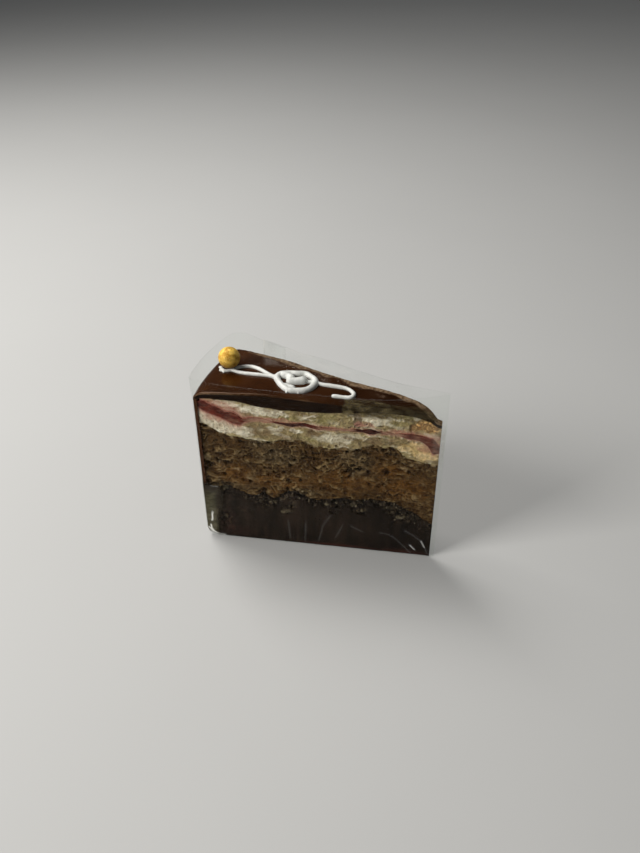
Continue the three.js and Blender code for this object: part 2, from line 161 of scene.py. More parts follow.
floor_paint, tree, shader, place = new_finish("pale_floor")
shade = grain(tree, place, 3.0)
tree.links.new(mixed(tree, shade, (0.50, 0.50, 0.49), (0.55, 0.55, 0.54)), shader.inputs["Base Color"])
shader.inputs["Roughness"].default_value = 0.9
shader.inputs["Specular IOR Level"].default_value = 0.1
floor_mesh = bpy.data.meshes.new("floor")
corners = ((-1, -1), (1, -1), (1, 1), (-1, 1))
corners = [(x * FLOOR_HALF, y * FLOOR_HALF, FLOOR_LEVEL) for x, y in corners]
floor_mesh.from_pydata(corners, [], [(0, 1, 2, 3)])
floor_mesh.materials.append(floor_paint)
floor = bpy.data.objects.new("floor", floor_mesh)
bpy.context.scene.collection.objects.link(floor)

# Dark base
# The lowest layer: dense, moist, almost black chocolate cake, baked flat and cut with the rest of the slice.
# Its rim end has crumbled back under the coat, and the sponge rests on its broken, crumbly top.

MM = 0.001
CAKE_RADIUS = 100.0
HALF_ANGLE = math.radians(11.25)
TIP_X = 49.7
FOOD_LENGTH = CAKE_RADIUS - 0.2 / math.sin(HALF_ANGLE)
STATIONS = 380
FRONT, NOSE, BACK, RIM = range(4)
ACROSS_SCALE = 20.0


def clamped(values):
    """Values held between 0 and 1."""
    return np.clip(values, 0, 1)


def profile(*points):
    """Smooth curve through (distance from the rim, height) points, level beyond both ends."""
    places, heights = np.array(points, float).T
    before = np.maximum(np.arange(len(places)) - 1, 0)
    after = np.minimum(np.arange(len(places)) + 1, len(places) - 1)
    slopes = (heights[after] - heights[before]) / (places[after] - places[before])

    def curve(at):
        at = np.clip(at, places[0], places[-1])
        i = np.clip(np.searchsorted(places, at, "right") - 1, 0, len(places) - 2)
        span = places[i + 1] - places[i]
        t = (at - places[i]) / span
        lift = heights[i] + t * t * (3 - 2 * t) * (heights[i + 1] - heights[i])
        return lift + slopes[i] * span * t * (1 - t) ** 2 - slopes[i + 1] * span * t * t * (1 - t)

    return curve


def seeded_grid(i, j, seed):
    """Random number from 0 to 1 for a place on a grid."""
    value = np.sin(i * 127.1 + j * 311.7 + seed * 74.7) * 43758.5453
    return value - np.floor(value)


def drift_field(u, v, seed):
    """Smooth field from 0 to 1 over that grid."""
    i, j = np.floor(u), np.floor(v)
    a, b = u - i, v - j
    a, b = a * a * (3 - 2 * a), b * b * (3 - 2 * b)
    low = seeded_grid(i, j, seed) * (1 - a) + seeded_grid(i + 1, j, seed) * a
    high = seeded_grid(i, j + 1, seed) * (1 - a) + seeded_grid(i + 1, j + 1, seed) * a
    return low * (1 - b) + high * b


def cell_value(cells, seed):
    """Steady random number from 0 to 1 for each whole-number cell in space."""
    x, y, z = np.moveaxis(cells.astype(np.int64), -1, 0)
    stirred = (x * 73856093) ^ (y * 19349663) ^ (z * 83492791) ^ (seed * 49979687)
    stirred = ((stirred ^ (stirred >> 15)) * 2246822519) & 0xFFFFFFFF
    stirred = ((stirred ^ (stirred >> 13)) * 3266489917) & 0xFFFFFFFF
    return ((stirred ^ (stirred >> 16)) & 0xFFFFFF) / 0xFFFFFF


def waves(points, size, seed, octaves=1):
    """Smooth noise from 0 to 1 with features of a size in mm, and finer ones laid on them."""
    total, weight = 0.0, 0.0
    for octave in range(octaves):
        scaled = points * (2 ** octave / size)
        cell = np.floor(scaled)
        t = scaled - cell
        t = t * t * (3 - 2 * t)
        value = 0.0
        for corner in itertools.product((0, 1), repeat=3):
            share = np.prod(np.where(corner, t, 1 - t), axis=-1)
            value = value + share * cell_value(cell + corner, seed + 17 * octave)
        total = total + value * 0.5 ** octave
        weight += 0.5 ** octave
    return total / weight


def ridges(points, size, seed, octaves):
    """Crumb in sharp, curled ridges, from 0 in the furrows to 1 on the crests."""
    bend = np.stack([waves(points, size * 1.6, seed + k, 2) for k in range(3)], -1) - 0.5
    bent = points + size * 1.5 * bend
    total, weight = 0.0, 0.0
    for octave in range(octaves):
        level = waves(bent, size / 2 ** octave, seed + 5 + octave)
        total = total + 0.6 ** octave * clamped(1 - 2.2 * np.abs(2 * level - 1)) ** 1.5
        weight += 0.6 ** octave
    return total / weight


def bubbles(points, spacing, smallest, largest, share, seed):
    """Depth inside round balls in some cells of a grid: bubbles that were cut open, or loose grains."""
    cell = np.floor(points / spacing)
    depth = np.zeros(points.shape[:-1])
    for offset in itertools.product((-1, 0, 1), repeat=3):
        near = cell + offset
        centre = (near + np.stack([cell_value(near, seed + k) for k in range(3)], -1)) * spacing
        radius = smallest + (largest - smallest) * cell_value(near, seed + 3) ** 2
        radius = np.where(cell_value(near, seed + 4) < share, radius, 0)
        reach = np.maximum(radius ** 2 - np.sum((points - centre) ** 2, -1), 0)
        depth = np.maximum(depth, np.sqrt(reach))
    return depth


def sunk(depth, passes, spread):
    """How far each point lies in below those around it, from 0 on a crest to 1 in a hollow."""
    around = depth
    for _ in range(passes):
        around = (np.roll(around, 1, 0) + 2 * around + np.roll(around, -1, 0)) / 4
        wide = np.pad(around, ((0, 0), (1, 1)), mode="edge")
        around = (wide[:, :-2] + 2 * around + wide[:, 2:]) / 4
    return clamped(0.5 + (depth - around) / spread)


def boundary(heights, drift, seed, ragged, size):
    """Boundary of two layers: as cut at the front, drifting a little towards the back, rough as its crumb."""

    def surface(along, across):
        shape = np.broadcast(along, across).shape
        place = np.stack(np.broadcast_arrays(along, across * ACROSS_SCALE, np.full(shape, seed * 7.3)), -1)
        rough = ragged * 2 * (waves(place, size, seed, 3) - 0.5)
        behind = (across + 1) / 2
        return heights(along) + behind * drift * (drift_field(along / 9, across, seed) - 0.5) + rough

    return surface


def quads(grid):
    """Faces between neighbours in a grid of point numbers."""
    return np.stack([grid[:-1, :-1], grid[1:, :-1], grid[1:, 1:], grid[:-1, 1:]], -1).reshape(-1, 4)


def slice_layer(start, low, high, carve, rows, rim_points=12, columns=1, setback=None):
    """One layer: rows of points round its cut faces and rim, pushed in by its crumb, and a lid at each end.
    A setback moves the rim end in by a distance for each height, and dies out 12 mm along."""
    stations = np.linspace(start, FOOD_LENGTH, STATIONS)
    rim = np.linspace(1, -1, rim_points + 2)[1:-1]
    along = np.concatenate([stations, [FOOD_LENGTH + 0.15], stations[::-1], np.full(rim_points, start)])
    across = np.concatenate([np.full(STATIONS, -1.0), [0.0], np.full(STATIONS, 1.0), rim])[:, None]
    side = np.repeat([FRONT, NOSE, BACK, RIM], [STATIONS, 1, STATIONS, rim_points])
    angle = across * HALF_ANGLE
    inward = np.concatenate([np.cos(angle), -np.sin(angle)], -1)
    inward[side == FRONT] = (-math.sin(HALF_ANGLE), math.cos(HALF_ANGLE))
    inward[side == BACK] = (-math.sin(HALF_ANGLE), -math.cos(HALF_ANGLE))
    inward[side == NOSE] = (-1, 0)

    def moved(reach, height):
        return reach if setback is None else reach + setback(height) * clamped(1 - (reach - start) / 12)

    share = np.linspace(0, 1, rows + 1)
    along = along[:, None]
    along = moved(along, low(along, across) * (1 - share) + high(along, across) * share) + 0 * share
    height = low(along, across) * (1 - share) + high(along, across) * share
    radius = CAKE_RADIUS - along
    points = np.stack([TIP_X - radius * np.cos(angle), radius * np.sin(angle), height], -1)
    side_of_point = np.repeat(side[:, None], rows + 1, 1)
    depth, marks = carve(points, along, side_of_point)
    depth = np.clip(depth, 0, np.where(side_of_point == RIM, 4.0, 0.4 * radius * math.sin(HALF_ANGLE)))
    points[..., :2] += depth[..., None] * inward[:, None]

    ring = np.arange(points[..., 0].size).reshape(points.shape[:2])
    faces = quads(np.concatenate([ring, ring[:1]])).tolist()
    vertices = [points.reshape(-1, 3)]
    total = ring.size
    middle = np.linspace(-1, 1, columns + 2)[1:-1]
    for row, surface in ((0, low), (rows, high)):
        front = ring[:STATIONS, row]
        back = ring[STATIONS + 1:2 * STATIONS + 1, row][::-1]
        edge = ring[2 * STATIONS + 1:, row]
        reach, turned = np.meshgrid(stations[1:], middle, indexing="ij")
        reach = moved(reach, surface(reach, turned))
        lid = np.stack([TIP_X - (CAKE_RADIUS - reach) * np.cos(turned * HALF_ANGLE),
                        (CAKE_RADIUS - reach) * np.sin(turned * HALF_ANGLE), surface(reach, turned)], -1)
        toward_back = (turned[..., None] + 1) / 2
        shift = depth[:, row, None] * inward
        front_shift = shift[:STATIONS][1:, None]
        back_shift = shift[STATIONS + 1:2 * STATIONS + 1][::-1][1:, None]
        lid[..., :2] += front_shift * (1 - toward_back) + back_shift * toward_back
        inner = total + np.arange(lid[..., 0].size).reshape(lid.shape[:2])
        vertices.append(lid.reshape(-1, 3))
        total += inner.size
        grid = np.concatenate([front[1:, None], inner, back[1:, None]], 1)
        if columns == rim_points:
            grid = np.concatenate([np.concatenate([front[:1], edge[::-1], back[:1]])[None], grid], 0)
        lid_faces = quads(grid).tolist()
        nose = ring[STATIONS, row]
        lid_faces += [[a, nose, b] for a, b in zip(grid[-1, :-1].tolist(), grid[-1, 1:].tolist())]
        if columns != rim_points:
            half = columns // 2
            hub = int(inner[0, half])
            chain = [grid[0, half + 2:], [back[0]], edge, [front[0]], grid[0, :half + 1]]
            chain = np.concatenate(chain).tolist()
            lid_faces += [[hub, a, b] for a, b in zip(chain[:-1], chain[1:])]
        faces += lid_faces if row else [face[::-1] for face in lid_faces]
    vertices = np.concatenate(vertices)
    lids = len(vertices) - ring.size
    marks = {name: np.concatenate([values.ravel(), np.zeros(lids)]) for name, values in marks.items()}
    return vertices, faces, marks


def food_piece(name, vertices, faces, marks, material, crease=60):
    """Object in metres from points in mm, smooth up to a crease angle, with the marks at its points."""
    mesh = bpy.data.meshes.new(name)
    mesh.from_pydata((np.asarray(vertices) * MM).tolist(), [], faces)
    mesh.polygons.foreach_set("use_smooth", [True] * len(mesh.polygons))
    mesh.set_sharp_from_angle(angle=math.radians(crease))
    for mark, values in marks.items():
        layer = mesh.attributes.new(mark, "FLOAT", "POINT")
        layer.data.foreach_set("value", values.astype(np.float32))
    mesh.materials.append(material)
    piece = bpy.data.objects.new(name, mesh)
    bpy.context.scene.collection.objects.link(piece)
    return piece


def spots(along, height, places):
    """How far each point lies inside the nearest of some oval spots, as 1 at a middle and 0 at a rim."""
    inside = np.zeros(along.shape)
    for spot_along, spot_height, half_length, half_height in places:
        reach = ((along - spot_along) / half_length) ** 2 + ((height - spot_height) / half_height) ** 2
        inside = np.maximum(inside, 1 - reach)
    return clamped(inside)


def at_face(surface, along, side):
    """Height of a boundary where it meets each face."""
    return surface(along, np.where(side == FRONT, -1.0, np.where(side == BACK, 1.0, 0.0)))


def read_mark(tree, name):
    """The number that a mesh carries under a name."""
    return make_node(tree, "ShaderNodeAttribute", attribute_name=name).outputs["Fac"]


def laid(tree, colour, spread, *tints):
    """Colour with tints laid on it in turn, each where the mesh has its mark and by its strength."""
    for mark, strength, *shades in tints:
        share = sums(tree, "MULTIPLY", read_mark(tree, mark), strength)
        tint = mixed(tree, spread, *shades) if len(shades) == 2 else shades[0]
        colour = mixed(tree, share, colour, tint)
    return colour


def coordinate(tree, place, axis):
    """One of a place's three coordinates."""
    return make_node(tree, "ShaderNodeSeparateXYZ", {0: place}).outputs[axis]


BASE_START = 2.6
base_setback = profile((0, 1.2), (2.5, 0), (9, 0), (13, 1), (17, 2.3), (22, 3.1), (27, 3.2))
base_top = boundary(profile(
    (0, 27.6), (5.7, 28.2), (10.2, 29.3), (12, 29), (16.2, 26.8), (20.5, 25.5), (24.1, 25.9), (26.8, 27.7),
    (28.6, 25.9), (32, 24.7), (34.8, 27.6), (38.2, 29.6), (42.5, 28.7), (45, 27.4), (50.2, 25.9),
    (55.4, 27), (61.8, 28.3), (66, 27.3), (70.7, 28.8), (75.7, 29), (80.8, 28.4), (85.1, 26.7),
    (90.3, 24.1), (93.8, 21.8), (98.2, 18.9)), 3, 11, 0.6, 1.9)
BASE_HOLLOWS = [
    (7, 28.0, 3.4, 1.5), (11.4, 28.4, 2.4, 1.3), (43.5, 27.6, 3, 1.2), (27, 25, 1.4, 2.2),
    (38.5, 21, 1.6, 1.2), (69, 20.5, 2.6, 1), (85.5, 22.6, 3, 0.9), (59.5, 23, 2, 1.4),
    (77, 25.2, 2.6, 0.8),
]
BASE_CRUMBLED = [
    (53.2, 23.9, 2.6, 2), (56.7, 20.5, 2, 2), (64.8, 24.8, 2.8, 2), (69.1, 22, 2.8, 2.4),
    (78.3, 26.3, 4, 1.8), (83.0, 23.8, 4.8, 3), (87.0, 20.6, 4.6, 3), (84.6, 18.8, 2.8, 1.6),
    (37, 18.8, 3.2, 2.8), (30, 22, 3.6, 3.2), (27.5, 20.5, 2.6, 2.2), (9.5, 10, 4.6, 5.4),
    (8.5, 26.5, 5, 2.4), (24, 23.5, 3, 2), (46, 25.5, 3, 2),
]
BASE_PALE = [
    (36.3, 17.7, 2.4, 1.3), (30.5, 22.3, 1.5, 1.0), (9.2, 11.6, 1.3, 1.3), (54, 23.6, 1.6, 1.1),
    (47, 26.4, 1.3, 1.1), (65.2, 24.9, 1.5, 1.0), (80, 25, 2.4, 0.9), (86.4, 20.6, 2.6, 1.0),
    (9.6, 27.4, 1.6, 1.0), (69.4, 22.4, 1.4, 1),
]

BASE_RED = [(88, 0.6, 13, 2.0), (60, 0.8, 22, 1.2)]
BASE_REDDISH = [(9.5, 9, 6, 9), (14, 4, 8, 4)]


def carve_base(points, along, side):
    """Depth of the base's torn crumb below its cut faces and rim, and the marks of its colours and its
    painted shade.
    """
    height = points[..., 2]
    front = side == FRONT
    below_top = at_face(base_top, along, side) - height
    torn = clamped(1.35 - below_top / 3.4) * clamped(3.2 * waves(points, 4.5, 76, 2) - 0.9)
    crumbled = np.where(front, spots(along, height, BASE_CRUMBLED), 0) ** 0.5
    torn = np.maximum(torn, crumbled * clamped(3.0 * waves(points, 2.4, 79, 2) - 0.7))
    near_top = clamped(1 - below_top / 13)
    torn = np.maximum(torn, 0.75 * near_top * clamped(5 * waves(points, 3.2, 74, 2) - 2.6))
    lumps = bubbles(points * (0.8, 0.8, 1), 2.5, 0.6, 1.5, 0.7, 77)
    grains = clamped(np.maximum(bubbles(points, 1.3, 0.3, 0.8, 0.85, 75) / 0.6, lumps / 0.9))
    crest = ridges(points, 1.8, 71, 3)
    # Vertical streaks: real streaky relief, and in the colour a painted reflection of the film.
    streaks = waves(points * (1, 1, 0.12), 1.6, 72, 2)
    pits = bubbles(points, 1.9, 0.1, 0.38, 0.4, 73)
    hollow = np.where(front, spots(along, height, BASE_HOLLOWS), 0)
    from_rim = along - BASE_START - base_setback(height)
    corner = clamped(1 - from_rim / 1.2) * (side != RIM)
    depth = 0.06 + 0.28 * (1 - crest) * (0.5 + torn) + 0.15 * streaks + 0.7 * pits + 1.1 * torn * (1 - grains)
    depth = depth + 1.3 * hollow * (1.2 - grains) + 0.8 * corner ** 2
    near_rim = np.clip((46 - along) / 24, 0, 0.8)
    flecks = clamped(bubbles(points, 0.95, 0.14, 0.42, 0.55, 78) / 0.26)
    flecks = flecks * (0.35 + 0.65 * np.maximum(near_top, near_rim))
    flecks = flecks * clamped(2.4 * waves(points, 6, 70, 2) - 0.5)
    pale = np.where(front, spots(along + 2.4 * (streaks - 0.5), height, BASE_PALE), 0) ** 0.5
    pale = pale * clamped(grains * 2.2 + 0.4)
    depth = depth * (1 - 0.6 * pale)
    # The gaps mark covers pits, bare torn crumb and hollows; its tint is painted shade in these recesses.
    gaps = clamped(pits / 0.5 + 0.9 * torn * (1 - grains) ** 2 + hollow * (1 - grains))
    reddish = 0.45 * spots(along, height, BASE_REDDISH) * clamped(grains + 0.3)
    red = np.where(front, np.maximum(spots(along, height, BASE_RED), reddish), 0)
    bare = torn * (1 - grains)
    loose = clamped(1.6 * bare + hollow * (1 - grains)) * (1 - pale)
    return depth, {"gaps": gaps, "pale": pale, "red": red, "crumb": torn * grains, "streak": streaks,
                   "flecks": flecks, "sunk": sunk(depth, 12, 1.0), "loose": loose}


def flat_underside(along, across):
    """The level foot of the slice."""
    return 0 * along + 0 * across


base_crumb, tree, shader, place = new_finish("dense_dark_cake")
fine = grain(tree, place, 1100, detail=5)
broad = grain(tree, place, 140, (1, 1, 0.35), detail=4)
# The streaks make the tone lighter: partly the crumb's streaky grain, partly a painted reflection of the
# film.
tone = weighted(tree, (fine, 0.55), (broad, 0.35), (read_mark(tree, "streak"), 0.18))
colour = mixed(tree, between(tree, tone, 0.44, 0.66), (0.0085, 0.0052, 0.0034), (0.0380, 0.0245, 0.0165))
spread = between(tree, fine, 0.40, 0.62)
colour = laid(tree, colour, spread,
              ("flecks", 0.8, (0.026, 0.0180, 0.0115), (0.110, 0.083, 0.055)),
              ("crumb", 1.0, (0.034, 0.0240, 0.0155), (0.165, 0.125, 0.081)))
# Points sunk below their neighbours are darkened: painted shade in the hollows of the crumb.
hollow_shade_share = between(tree, read_mark(tree, "sunk"), 0.56, 0.98, 0.0, 0.75)
colour = mixed(tree, hollow_shade_share, colour, (0.0050, 0.0034, 0.0024))
# The gaps tint is painted shade in the carved recesses.
colour = laid(tree, colour, spread,
              ("gaps", 1.0, (0.0045, 0.0030, 0.0022)),
              ("pale", 1.0, (0.11, 0.082, 0.046), (0.32, 0.262, 0.165)),
              ("red", 1.0, (0.060, 0.022, 0.016)))
# Darker towards the tip: painted shade.
toward_tip = coordinate(tree, place, "X")
colour = mixed(tree, between(tree, toward_tip, -8 * MM, 34 * MM, 0.0, 0.32), colour, (0.0040, 0.0027, 0.0019))
dress(tree, shader, colour, between(tree, fine, 0.3, 0.7, 0.55, 0.85), 0.10)
raised(tree, shader, fine, 0.0005, 0.8)
raised(tree, shader, grain(tree, place, 2600, detail=2), 0.0002, 0.6)

base_shape = slice_layer(BASE_START, flat_underside, base_top, carve_base,
                         rows=84, rim_points=70, setback=base_setback)
dark_base = food_piece("dark_base_cake", *base_shape, base_crumb)
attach(dark_base, "root")
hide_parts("dark_base")

# Chocolate sponge
# The thick middle layer: brown fine-crumbed sponge, full of small bubbles, dragged by the knife.
# It was baked as a flat disc and lies on the dark base. The rim coat covers its outer edge.

LAYER_START = 1.65
sponge_top = boundary(profile(
    (0, 62.2), (3.5, 61.5), (5.9, 59.8), (9.1, 58.1), (13.2, 56.5), (18.2, 56), (23.2, 55.5), (31.5, 55.3),
    (36.9, 56.8), (43.1, 57.1), (50.4, 54.8), (55.3, 53.9), (61.4, 55.4), (66.7, 55.2), (72.3, 58.5),
    (77.5, 57), (80.3, 57.9), (83.2, 55.9), (85.6, 53.1), (88.5, 52.3), (91.8, 51.3), (98.2, 50.9)),
    2.4, 12, 0.55, 1.9)
SPONGE_HOLES = [
    (3.8, 60.3, 1.9, 0.8), (6.6, 47.7, 0.9, 0.6), (3.0, 46.1, 0.9, 0.7), (9.3, 45.4, 0.8, 0.8),
    (3.1, 40.5, 1.1, 0.9), (4.3, 39.0, 0.9, 0.8), (7.6, 42.4, 1.3, 1.0), (11.6, 42.0, 2.2, 1.2),
    (12.2, 39.3, 0.9, 0.7), (18.7, 53.5, 1.4, 1.0), (11.4, 53.2, 0.9, 0.9), (7.4, 53.3, 0.9, 0.8),
    (9.9, 57.2, 1.3, 0.6), (30.0, 53.6, 0.8, 0.8), (31.2, 49.9, 0.8, 0.9), (32.4, 38.9, 0.9, 0.8),
    (34.2, 37.7, 0.9, 0.7), (35.9, 39.2, 1.0, 0.9), (29.3, 36.8, 0.8, 0.8), (29.3, 33.6, 0.9, 0.7),
    (21.3, 32.3, 1.2, 1.0), (17.7, 33.0, 0.7, 0.6), (10.1, 35.2, 1.2, 0.9), (22.3, 42.3, 1.2, 0.5),
    (27.7, 40.8, 0.7, 0.7), (47.8, 53.0, 0.6, 1.3), (48.4, 50.4, 0.6, 1.4), (48.7, 47.9, 0.7, 1.2),
    (38.6, 43.2, 1.0, 1.0), (40.8, 46.1, 1.5, 1.1), (46.2, 48.2, 1.3, 0.8), (50.4, 47.6, 1.0, 0.8),
    (49.1, 42.7, 0.9, 0.7), (37.9, 34.6, 1.5, 1.2), (43.0, 35.5, 1.1, 0.9), (32.0, 31.1, 2.6, 0.5),
    (5.4, 29.2, 2.2, 0.9), (10.2, 30.4, 2.6, 0.9), (12.9, 29.5, 1.4, 0.8), (41.2, 29.6, 1.6, 0.6),
    (44.6, 28.6, 1.8, 0.7), (26.8, 28.6, 0.9, 1.6), (36.7, 29.6, 0.9, 0.9), (66.7, 54.1, 1.4, 0.9),
    (69.2, 53.4, 1.3, 0.9), (71.1, 52.8, 1.2, 0.8), (62.1, 53.1, 1.1, 0.8), (75.6, 57.0, 0.7, 0.6),
    (74.4, 55.4, 0.8, 0.7), (85.0, 50.6, 1.2, 0.7), (87.5, 50.2, 1.1, 0.7), (71.7, 46.8, 1.5, 0.5),
    (65.4, 46.2, 1.2, 0.8), (61.7, 42.0, 1.0, 0.8), (64.9, 42.4, 0.9, 0.9), (69.3, 41.0, 1.3, 0.8),
    (70.7, 43.2, 0.9, 1.0), (63.9, 39.9, 1.0, 0.7), (67.4, 43.6, 1.1, 0.9), (79.0, 43.6, 1.3, 1.1),
    (87.6, 45.1, 0.9, 0.8), (89.4, 44.7, 0.9, 0.8), (54.9, 47.6, 1.0, 0.7), (49.9, 50.7, 1.0, 0.8),
    (57.7, 49.3, 0.9, 0.6), (64.2, 48.9, 0.7, 0.6), (68.4, 49.4, 0.8, 0.7), (71.6, 37.3, 1.2, 0.6),
    (78.0, 37.6, 0.8, 0.7), (75.6, 35.7, 1.2, 0.5), (70.6, 30.8, 1.0, 0.8), (80.4, 32.0, 0.8, 0.8),
    (95.7, 34.6, 0.8, 0.6), (98.0, 33.8, 1.2, 0.7), (94.9, 49.9, 1.3, 0.8), (80.4, 56.2, 1.5, 1.0),
    (77.2, 55.1, 0.8, 1.4), (78.9, 53.3, 0.9, 0.7), (82.0, 53.2, 0.8, 1.5), (53.0, 32.0, 1.0, 0.6),
]
SPONGE_BASINS = [
    (79.9, 54.4, 2.6, 2.4), (66.3, 43.2, 4.2, 3.2), (5.5, 41.8, 3.6, 3.8), (78.7, 44.6, 1.9, 1.9),
    (99, 27.5, 1.6, 2.6),
]
SPONGE_PALE = [
    (16.8, 48.0, 2.2, 0.9), (15.7, 39.1, 1.7, 1.0), (20.6, 34.5, 2.4, 0.7), (24.6, 36.6, 2.2, 0.7),
    (8.2, 31.5, 2.4, 1.2), (37.7, 48.4, 1.8, 1.1), (44.1, 47.7, 1.6, 1.3), (39.2, 45.0, 1.7, 1.0),
    (27.2, 44.7, 0.8, 1.6), (21.2, 50.1, 1.4, 0.9), (46.5, 41.1, 1.8, 0.7), (28.4, 28.3, 0.9, 1.3),
    (36.2, 30.6, 1.6, 1.2), (47.2, 28.8, 1.3, 1.0), (3.2, 43.6, 1.5, 3.6), (57.4, 48.1, 2.6, 0.8),
    (59.5, 50.7, 1.8, 1.2), (64.7, 39.4, 1.4, 0.9), (70.2, 44.6, 1.0, 1.4), (62.6, 44.4, 1.2, 1.6),
    (89.4, 49.0, 2.2, 1.0), (85.5, 46.6, 2.6, 1.6), (93.6, 39.5, 1.6, 1.3), (95.3, 35.8, 1.3, 1.2),
    (52.3, 36.9, 1.6, 1.0), (61.1, 33.3, 2.2, 1.4), (93.7, 47.3, 4.0, 0.9), (79.6, 55.0, 1.3, 1.2),
    (80.6, 53.6, 1.2, 0.9), (33, 44, 3, 2),
]
SPONGE_GREY = [
    (33, 48, 13, 6), (66, 49, 9, 6), (66, 43, 5, 4), (10, 29, 9, 3), (44, 29, 8, 3), (26, 53, 8, 3),
]
SPONGE_WARM = [
    (31.4, 28.8, 3.0, 3.0), (60, 37, 16, 7), (86, 37, 14, 8), (33, 34, 14, 5), (15, 36, 10, 6),
    (80, 45, 9, 5),
]
SPONGE_SMOOTH = [
    (76, 45, 8, 6), (88, 38, 9, 5), (22, 31, 12, 3), (56, 38, 6, 4), (92, 45, 8, 6), (70, 35, 10, 5),
    (14, 53, 9, 4), (46, 34, 7, 4),
]


def carve_sponge(points, along, side):
    """Depth of the sponge's crumb and holes below its cut faces, and the marks of its colours and its painted
    shade.
    """
    height = points[..., 2]
    front = side == FRONT
    dragged = points * (0.74, 0.74, 1)
    crest = ridges(dragged, 1.3, 21, 3)
    curls = ridges(points * (0.56, 0.56, 1), 2.5, 25, 2)
    arcs = np.abs(waves(points * (0.62, 0.62, 1), 2.4, 48, 2) - 0.5)
    arcs = clamped(1.3 - arcs / 0.075) * clamped(5 * waves(points, 2.4, 49, 2) - 2.5)
    lumps = waves(points * (0.7, 0.7, 1), 4.2, 22, 2)
    tears = clamped(6 * waves(points * (0.5, 0.5, 1), 1.9, 26, 3) - 3.5)
    large = bubbles(dragged, 4.4, 0.4, 1.1, 0.35, 31)
    small = bubbles(points, 1.6, 0.15, 0.46, 0.5, 41)
    smooth = np.where(front, spots(along, height, SPONGE_SMOOTH), 0)
    hand_placed = np.zeros(along.shape)
    warped_along = along + 1.9 * (waves(points, 1.5, 24, 2) - 0.5)
    warped_height = height + 1.9 * (waves(points, 1.5, 33, 2) - 0.5)
    for hole in SPONGE_HOLES:
        hollowed = min(hole[2:]) * np.sqrt(spots(warped_along, warped_height, [hole]))
        hand_placed = np.maximum(hand_placed, hollowed)
    hand_placed = np.where(front, hand_placed, 0)
    basin = np.where(front, spots(along, height, SPONGE_BASINS), 0)
    opened = np.maximum.reduce([np.where(front, 0, large), small * (1 - 0.7 * smooth), hand_placed])
    torn = 0.40 * (1 - crest) + 0.45 * (1 - curls) + 0.55 * tears
    depth = torn * (1 - 0.5 * smooth) + 0.5 * lumps + opened
    depth = depth + basin ** 0.7 * (0.5 + 0.9 * (1 - curls))
    crumbly = np.where(front, np.maximum(spots(along, height, SPONGE_GREY), basin), 0.35)
    crumbly = clamped(1.3 * crumbly + 1.6 * waves(points, 4.0, 44, 2) - 0.75) * (1 - 0.8 * smooth)
    flecks = clamped(bubbles(points * (0.75, 0.75, 1), 1.05, 0.16, 0.48, 0.65, 45) / 0.27) * crumbly
    arcs = arcs * (1 - 0.75 * smooth)
    # Just below each arc the crumb sinks, and its colour is darkened there: painted shadow of the curled
    # edge.
    under_arc = clamped(np.concatenate([arcs[:, 3:], arcs[:, -3:]], 1) - arcs)
    depth = np.maximum(depth - 0.3 * flecks - 0.35 * arcs, 0) + 0.5 * under_arc
    broad = clamped(2.6 * waves(points, 7, 27, 2) - 0.8)
    thread = clamped(curls * 2.2 - 0.8) * (0.25 + 0.75 * broad) * (1 - 0.7 * smooth)
    pale = np.where(front, spots(along, height, SPONGE_PALE) ** 0.7, 0) * clamped(curls * 1.6 + crest - 0.5)
    grey = np.where(front, spots(along, height, SPONGE_GREY), waves(points, 14, 27) ** 2)
    warm = np.where(front, spots(along, height, SPONGE_WARM), waves(points, 12, 28))
    under_cream = at_face(sponge_top, along, side) - height
    creamy = clamped(1.2 - under_cream / 1.3) * clamped(waves(points, 1.8, 29, 3) * 6 - 2.7)
    marks = {"pore": clamped(opened / 0.7), "thread": thread, "pale": pale, "grey": grey, "warm": warm,
             "creamy": creamy, "crest": crest, "sunk": sunk(depth, 10, 1.1), "flecks": flecks,
             "arcs": arcs, "under_arc": under_arc}
    return depth, marks


sponge_crumb, tree, shader, place = new_finish("brown_sponge_crumb")
fine = grain(tree, place, 1400, detail=5, rough=0.6)
broad = grain(tree, place, 260, (0.6, 0.6, 1), detail=5, rough=0.6)
# Crests add to the tone, so ridges are lighter and furrows darker: painted light and shade over the crumb's
# own tone.
tone = weighted(tree, (fine, 0.45), (broad, 0.35), (read_mark(tree, "crest"), 0.30))
spread = between(tree, tone, 0.38, 0.70)
speckled = between(tree, fine, 0.40, 0.62)
colour = mixed(tree, spread, (0.025, 0.0112, 0.0030), (0.142, 0.073, 0.0225))
colour = laid(tree, colour, spread,
              ("warm", 0.85, (0.060, 0.0232, 0.0045), (0.238, 0.107, 0.0238)),
              ("grey", 0.85, (0.028, 0.0180, 0.0078), (0.143, 0.098, 0.0480)),
              ("thread", 0.75, (0.150, 0.088, 0.034), (0.33, 0.225, 0.110)),
              ("pale", 0.85, (0.190, 0.125, 0.056), (0.40, 0.300, 0.165)),
              ("creamy", 0.8, (0.42, 0.33, 0.19)))
# Points sunk below their neighbours are darkened: painted shade in the hollows of the crumb.
hollow_shade_share = between(tree, read_mark(tree, "sunk"), 0.54, 0.90, 0.0, 0.85)
colour = mixed(tree, hollow_shade_share, colour, (0.0140, 0.0060, 0.0016))
# The under_arc tint is painted shadow below the curled arcs.
colour = laid(tree, colour, speckled,
              ("under_arc", 0.6, (0.014, 0.0062, 0.0018)),
              ("flecks", 0.75, (0.150, 0.100, 0.048), (0.40, 0.310, 0.185)))
